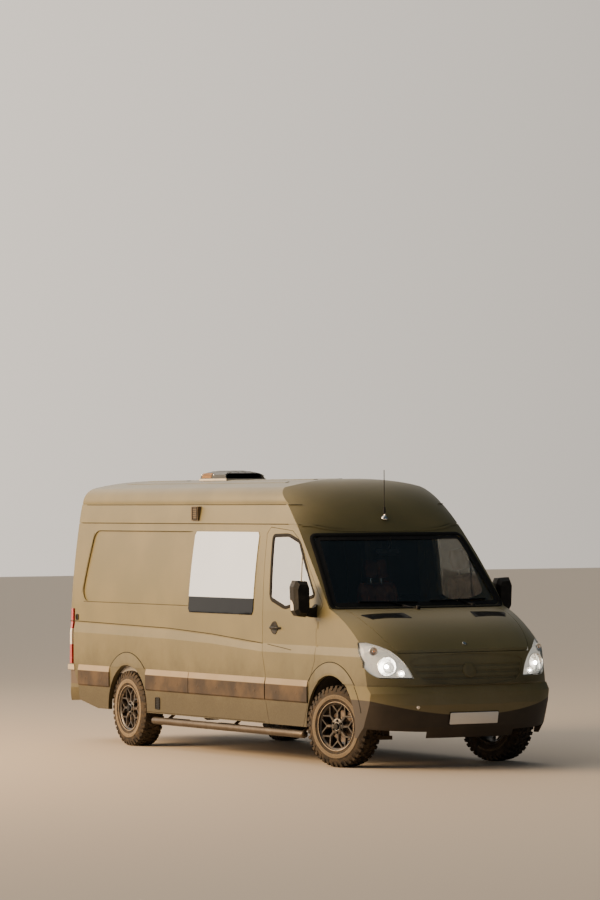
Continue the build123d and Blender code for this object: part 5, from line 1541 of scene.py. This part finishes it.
# Galley: a plywood cabinet behind the driver, with a speckled worktop, three fronts
# with chromed pulls, a round sink and a hob of two rings.
plywood, tree, shader = new_finish("oiled birch plywood", Specular_IOR_Level=0.3)
stretched = add(tree, "Mapping", Vector=object_place(tree), Scale=(9.0, 1.2, 9.0)).outputs[0]
rings = add(tree, "TexWave", Vector=stretched, Scale=1.6, Distortion=7.0, Detail=4.0).outputs[1]
fibres = add(tree, "TexNoise", Vector=stretched, Scale=14.0, Detail=5.0).outputs[0]
figure = calc(tree, "MULTIPLY_ADD", fibres, 0.5, calc(tree, "MULTIPLY", rings, 0.5))
two_tones(tree, shader, figure, (0.28, 0.165, 0.085), (0.54, 0.38, 0.225))
roughen(tree, shader, fibres, 0.15, 0.38)
raise_surface(tree, shader, figure, 0.0008, 0.3)
dress(plywood, "galley_unit", "bed_platform")
galley_low, galley_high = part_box("galley_unit")
worktop, tree, shader = new_finish("speckled worktop", Coat_Weight=0.2)
grains = add(tree, "TexVoronoi", Vector=object_place(tree), Scale=160.0).outputs[0]
two_tones(tree, shader, smooth_step(tree, grains, 0.1, 0.6), (0.10, 0.095, 0.09), (0.46, 0.44, 0.40))
roughen(tree, shader, grains, 0.15, 0.28)
board = block_mesh((galley_low.x + 0.004, galley_low.y + 0.002, galley_high.z - 0.004),
                   (galley_high.x - 0.002, galley_high.y - 0.002, galley_high.z + 0.006), 0.003)
new_piece("galley_top", board, worktop, "body")
FRONTS = 3
fronts = []
span = galley_high.y - galley_low.y
for k in range(FRONTS):
    y0 = galley_low.y + 0.02 + span * k / FRONTS
    y1 = galley_low.y - 0.02 + span * (k + 1) / FRONTS
    fronts.append(block_mesh((galley_high.x - 0.002, y0, galley_low.z + 0.07),
                             (galley_high.x + 0.006, y1, galley_high.z - 0.07), 0.002))
new_piece("galley_fronts", join_meshes(*fronts), plywood, "body")
pulls = []
x = galley_high.x + 0.006
z = galley_high.z - 0.11
for k in range(FRONTS):
    y = galley_low.y + span * (k + 0.5) / FRONTS
    grip = [(x, y - 0.06, z), (x + 0.012, y - 0.05, z), (x + 0.012, y + 0.05, z), (x, y + 0.06, z)]
    pulls.append(tube_mesh(grip, 0.004, 10))
new_piece("galley_pulls", join_meshes(*pulls), chrome, "body")
top = galley_high.z + 0.006
middle_x = (galley_low.x + galley_high.x) / 2
sink_place = (middle_x, galley_low.y + span * 0.74, top)
sink = lathe_mesh([(0.165, 0.0), (0.168, 0.003), (0.160, 0.0045), (0.152, 0.002), (0.120, 0.0016),
                   (0.030, 0.0012), (0.0005, 0.001)], 48, sink_place, UP)
tap_foot = Vector((galley_low.x + 0.06, sink_place[1], top))
tap = tube_mesh([tap_foot, tap_foot + Vector((0, 0, 0.14)), tap_foot + Vector((0.03, 0, 0.19)),
                 tap_foot + Vector((0.09, 0, 0.20)), tap_foot + Vector((0.12, 0, 0.165))], 0.010, 16)
new_piece("galley_sink", join_meshes(sink, tap), brushed_steel, "body")
hob_parts = [block_mesh((middle_x - 0.17, galley_low.y + span * 0.14, top - 0.001),
                        (middle_x + 0.17, galley_low.y + span * 0.50, top + 0.005), 0.002)]
for share in (0.23, 0.41):
    ring_place = (middle_x, galley_low.y + span * share, top + 0.005)
    hob_parts.append(lathe_mesh([(0.070, -0.001), (0.070, 0.004), (0.064, 0.006), (0.058, 0.004),
                                 (0.058, -0.001)], 40, ring_place, UP))
    hob_parts.append(lathe_mesh([(0.034, -0.001), (0.034, 0.007), (0.026, 0.010), (0.0005, 0.011)], 32,
                                ring_place, UP))
new_piece("galley_hob", join_meshes(*hob_parts), moulded_black, "body")

# Mattress: a foam mattress in woven grey cotton that fills the bed. Its cover has
# rounded edges and is tufted in rows.
ticking, tree, shader = new_finish("woven cotton cover", Roughness=0.85, Sheen_Weight=0.4,
                                   Specular_IOR_Level=0.15)
warp = add(tree, "TexWave", Vector=object_place(tree), Scale=110.0, bands_direction="X").outputs[1]
weft = add(tree, "TexWave", Vector=object_place(tree), Scale=110.0, bands_direction="Y").outputs[1]
weave = calc(tree, "MAXIMUM", warp, weft)
slubs = noise(tree, 45.0, 5.0)
two_tones(tree, shader, calc(tree, "MULTIPLY", weave, slubs), (0.20, 0.19, 0.175), (0.56, 0.53, 0.48))
raise_surface(tree, shader, weave, 0.0008, 0.5)
mattress_low, mattress_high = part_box("mattress")
low = mattress_low + Vector((0.012, 0.012, 0.001))
high = mattress_high - Vector((0.012, 0.012, 0.010))
mattress_piece = new_piece("mattress_cover", block_mesh(low, high, 0.030), ticking, "body")
swell(mattress_piece, 0.020, 0.024)
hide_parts("mattress")
TUFTS_ACROSS = 6
TUFTS_ALONG = 4
TUFTS = [
    (low.x + (high.x - low.x) * (i + 0.5) / TUFTS_ACROSS, low.y + (high.y - low.y) * (j + 0.5) / TUFTS_ALONG)
    for i in range(TUFTS_ACROSS) for j in range(TUFTS_ALONG)]


def tuft_distance(point):
    if point.z <= (low.z + high.z) / 2:
        return 1.0
    return min(math.hypot(point.x - x, point.y - y) for x, y in TUFTS)


sew(mattress_piece, [tuft_distance], 0.050, 0.016)
for vertex in mattress_piece.data.vertices:
    vertex.co.z = max(vertex.co.z, mattress_low.z)

# Door cards: the cab doors are lined with moulded black cards that have an arm rest, a
# pull handle and a speaker grille. The rear doors have flat plywood cards.


def inner_patch(path, start, direction, proud, surface, rings=6):
    # a thin sheet laid on the inner face that rays from inside the van meet
    middle = sum(path, Vector()) / len(path)
    direction = Vector(direction)
    outline_points = []
    for ring in range(rings + 1):
        for corner in path:
            place = middle.lerp(corner, max(ring, 0.02) / rings)
            origin = Vector([start[i] if start[i] is not None else place[i] for i in range(3)])
            found, normal, index, distance = surface.ray_cast(origin, direction)
            if found is None:
                found, normal = (outline_points[-1] if outline_points else place), -direction
            outline_points.append(found - direction * proud)
    count = len(path)
    points = list(outline_points)
    points += [p + direction * (proud + 0.001) for p in outline_points[-count:]]
    return points, [row_face(0, count)] + bands(rings + 2, count)


CARD = [
    (2.200, 0.360), (2.278, 0.600), (2.278, 0.800), (2.360, 1.110), (2.225, 1.455), (1.945, 1.395),
    (1.420, 1.505), (1.362, 1.385), (1.362, 1.030), (1.470, 0.820), (1.500, 0.620), (1.600, 0.360),
]
for sign, side in SIDES:
    door = "cab_door_" + side
    door_tree = tree_of(door)
    path = even(rounded(side_points(sign, CARD), 0.03), 0.06)
    start = (sign * 0.55, None, None)
    way = (sign, 0, 0)
    new_piece("cab_door_card_" + side, inner_patch(path, start, way, 0.005, door_tree), cab_plastic, door)
    wall = door_tree.ray_cast(Vector((sign * 0.55, NOSE + 1.95, 1.17)), Vector(way))[0]
    face_x = wall.x - sign * 0.005
    inner_x = face_x - sign * 0.055
    rest = block_mesh((min(face_x, inner_x), NOSE + 1.780, 1.145),
                      (max(face_x, inner_x), NOSE + 2.230, 1.190), 0.012)
    pull = [(face_x, NOSE + 1.640, 1.240), (face_x - sign * 0.035, NOSE + 1.660, 1.250),
            (face_x - sign * 0.035, NOSE + 1.760, 1.275), (face_x, NOSE + 1.780, 1.280)]
    grille_place = (face_x + sign * 0.002, NOSE + 1.680, 0.760)
    speaker = [(0.080, 0.0), (0.080, 0.006), (0.074, 0.008), (0.070, 0.005), (0.052, 0.006), (0.050, 0.003),
               (0.034, 0.006), (0.032, 0.003), (0.014, 0.006), (0.0005, 0.006)]
    grille = lathe_mesh(speaker, 40, grille_place, (-sign, 0, 0))
    fittings = join_meshes(rest, tube_mesh(pull, 0.010, 12), grille)
    new_piece("cab_door_arm_rest_" + side, fittings, moulded_black, door)
    rear = "rear_door_" + side
    rear_tree = tree_of(rear)
    corners = [Vector((sign * x, 0, z)) for x, z in ((0.075, 0.740), (0.800, 0.740), (0.770, 2.260),
                                                     (0.075, 2.290))]
    path = even(rounded(corners, 0.05), 0.08)
    card = inner_patch(path, (None, NOSE + 6.30, None), BACK, 0.005, rear_tree)
    new_piece("rear_door_card_" + side, card, plywood, rear)

# Lining: grey felt glued to the walls and the ceiling of the living space behind the
# windows.
felt, tree, shader = new_finish("grey lining felt", Roughness=0.9, Sheen_Weight=0.3, Specular_IOR_Level=0.1)
hairs = noise(tree, 320.0, 4.0)
clumps = noise(tree, 35.0, 4.0)
two_tones(tree, shader, calc(tree, "MULTIPLY_ADD", clumps, 0.5, calc(tree, "MULTIPLY", hairs, 0.5)),
          (0.10, 0.10, 0.10), (0.30, 0.29, 0.28))
raise_surface(tree, shader, hairs, 0.0015, 0.6)
for sign, side in SIDES:
    wall_tree = tree_of("body_side_" + side)
    rows = [(4.060, 0.740), (6.560, 0.740), (6.500, 2.220), (4.060, 2.220)]
    path = even(rounded(side_points(sign, rows), 0.04), 0.12)
    new_piece("wall_lining_" + side, inner_patch(path, (0, None, None), (sign, 0, 0), 0.004, wall_tree, 10),
              felt, "body")
roof_tree = tree_of("roof_panel")
for label, first, last in (("front", 2.720, 4.480), ("rear", 5.220, 6.380)):
    corners = [Vector((x, NOSE + s, 0)) for x, s in ((-0.70, first), (0.70, first), (0.70, last),
                                                     (-0.70, last))]
    path = even(rounded(corners, 0.05), 0.12)
    sheet = inner_patch(path, (None, None, 2.0), UP, 0.004, roof_tree, 10)
    new_piece("ceiling_lining_" + label, sheet, felt, "body")

# Roof ribs: shallow ribs pressed into the roof sheet stop it from drumming. The inner
# ones break off round the roof vent.
RIB_RUNS = ((0.0, 2.560, 4.380), (0.0, 5.340, 6.260), (0.255, 2.600, 4.380), (0.255, 5.340, 6.240),
            (0.520, 2.700, 6.180))
for index, (reach, first, last) in enumerate(RIB_RUNS):
    for sign in ((1, -1) if reach else (1,)):
        line = [Vector((sign * reach, NOSE + s, 2.4)) for s in (first, last)]
        rib = bead_mesh(line, DOWN, raised_section(0.050, 0.005), False, 0.15, roof_tree)
        side = "left" if sign > 0 else "right"
        new_piece(f"roof_rib_{side}_{index}", rib, paint, "body")

# Engine bay: the engine wears a ribbed plastic cover with an oil cap, and a rubber belt
# runs round its pulleys. A finned aluminium radiator hangs from the front panel.
cover = [block_mesh((-0.205, NOSE + 0.520, 1.086), (0.205, NOSE + 1.030, 1.116), 0.012)]
for k in range(6):
    x = -0.150 + k * 0.060
    cover.append(block_mesh((x - 0.012, NOSE + 0.700, 1.112), (x + 0.012, NOSE + 1.000, 1.122), 0.004))
cap = [(0.034, -0.002), (0.034, 0.016), (0.028, 0.021), (0.014, 0.021), (0.012, 0.028), (0.0005, 0.028)]
cover.append(lathe_mesh(cap, 32, (0.110, NOSE + 0.615, 1.115), UP))
new_piece("engine_cover", join_meshes(*cover), moulded_black, "body")
# x, height and radius
PULLEYS = ((0.0, 0.640, 0.095), (0.180, 0.850, 0.062), (-0.175, 0.830, 0.055))
BELT_MIDDLE = 0.77
wheels = []
rim_points = []
for x, height, radius in PULLEYS:
    profile = [(radius, 0.0), (radius, 0.004), (radius - 0.006, 0.006), (radius - 0.006, 0.026),
               (radius, 0.028), (radius, 0.032), (radius * 0.8, 0.032), (radius * 0.7, 0.022),
               (0.020, 0.022), (0.018, 0.036), (0.0005, 0.036)]
    wheels.append(lathe_mesh(profile, 40, (x, NOSE + 0.481, height), AHEAD))
    for k in range(48):
        angle = math.tau * k / 48
        rim_points.append((x + (radius - 0.003) * math.cos(angle),
                           height + (radius - 0.003) * math.sin(angle)))
new_piece("engine_pulleys", join_meshes(*wheels), under_steel, "body")


def outer_loop(places):
    # the points that a band stretched round all the places would touch
    start = min(places)
    loop = [start]
    while True:
        here = loop[-1]
        best = places[0] if places[0] != here else places[1]
        for other in places:
            turn = (best[0] - here[0]) * (other[1] - here[1]) - (best[1] - here[1]) * (other[0] - here[0])
            if other != here and turn < 0:
                best = other
        if best == start or len(loop) > len(places):
            return loop
        loop.append(best)


loop = outer_loop(sorted(set(rim_points)))
count = len(loop)
points = []
for inset, y in ((0.0, 0.471), (0.0, 0.455), (0.006, 0.455), (0.006, 0.471)):
    for x, height in loop:
        out = Vector((x, 0, height - BELT_MIDDLE)).normalized()
        points.append(Vector((x, NOSE + y, height)) + out * (0.006 - inset))
new_piece("engine_belt", (points, bands(4, count, True)), black_rubber)
alloy, tree, shader = new_finish("radiator aluminium", Metallic=0.9)
fins = add(tree, "TexWave", Vector=object_place(tree), Scale=60.0, Distortion=0.2,
           bands_direction="X").outputs[1]
dull = noise(tree, 14.0, 5.0)
two_tones(tree, shader, calc(tree, "MULTIPLY", fins, dull), (0.10, 0.10, 0.10), (0.42, 0.41, 0.39))
roughen(tree, shader, dull, 0.3, 0.35)
raise_surface(tree, shader, fins, 0.002, 0.5)
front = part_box("grille")[1].y + 0.015
tanks = [
    block_mesh((x - 0.025, front - 0.008, 0.570), (x + 0.025, front + 0.048, 1.010), 0.012)
    for x in (-0.350, 0.350)]
new_piece("radiator_core", block_mesh((-0.340, front, 0.580), (0.340, front + 0.040, 1.000), 0.006), alloy,
          "body")
ends = []
for sign, side in SIDES:
    found = tree_of("wing_" + side).ray_cast(Vector((0, front + 0.02, 1.02)), Vector((sign, 0, 0)))[0]
    ends.append(found.x if found else sign * 0.60)
panel = block_mesh((min(ends), front - 0.005, 1.000), (max(ends), front + 0.050, 1.035), 0.006)
hose_start = Vector((0.150, NOSE + 0.560, 1.100))
hose_bend = Vector((0.200, NOSE + 0.330, 1.130))
hose_end = Vector((0.335, front + 0.040, 0.900))
HOSE_STEPS = 12
bends = []
for k in range(HOSE_STEPS + 1):
    t = k / HOSE_STEPS
    bends.append(hose_start * (1 - t) ** 2 + hose_bend * 2 * t * (1 - t) + hose_end * t * t)
new_piece("radiator_tanks_and_hose", join_meshes(panel, *tanks, tube_mesh(bends, 0.022, 16)), moulded_black)
bonnet_tree = tree_of("bonnet")
corners = [Vector((x, NOSE + s, 0)) for x, s in (
    (-0.44, 0.300), (0.44, 0.300), (0.60, 0.560), (0.66, 0.860), (0.40, 0.925), (-0.40, 0.925),
    (-0.66, 0.860), (-0.60, 0.560))]
path = even(rounded(corners, 0.05), 0.08)
new_piece("bonnet_felt", inner_patch(path, (None, None, 0.9), UP, 0.004, bonnet_tree, 8), felt,
          "bonnet")
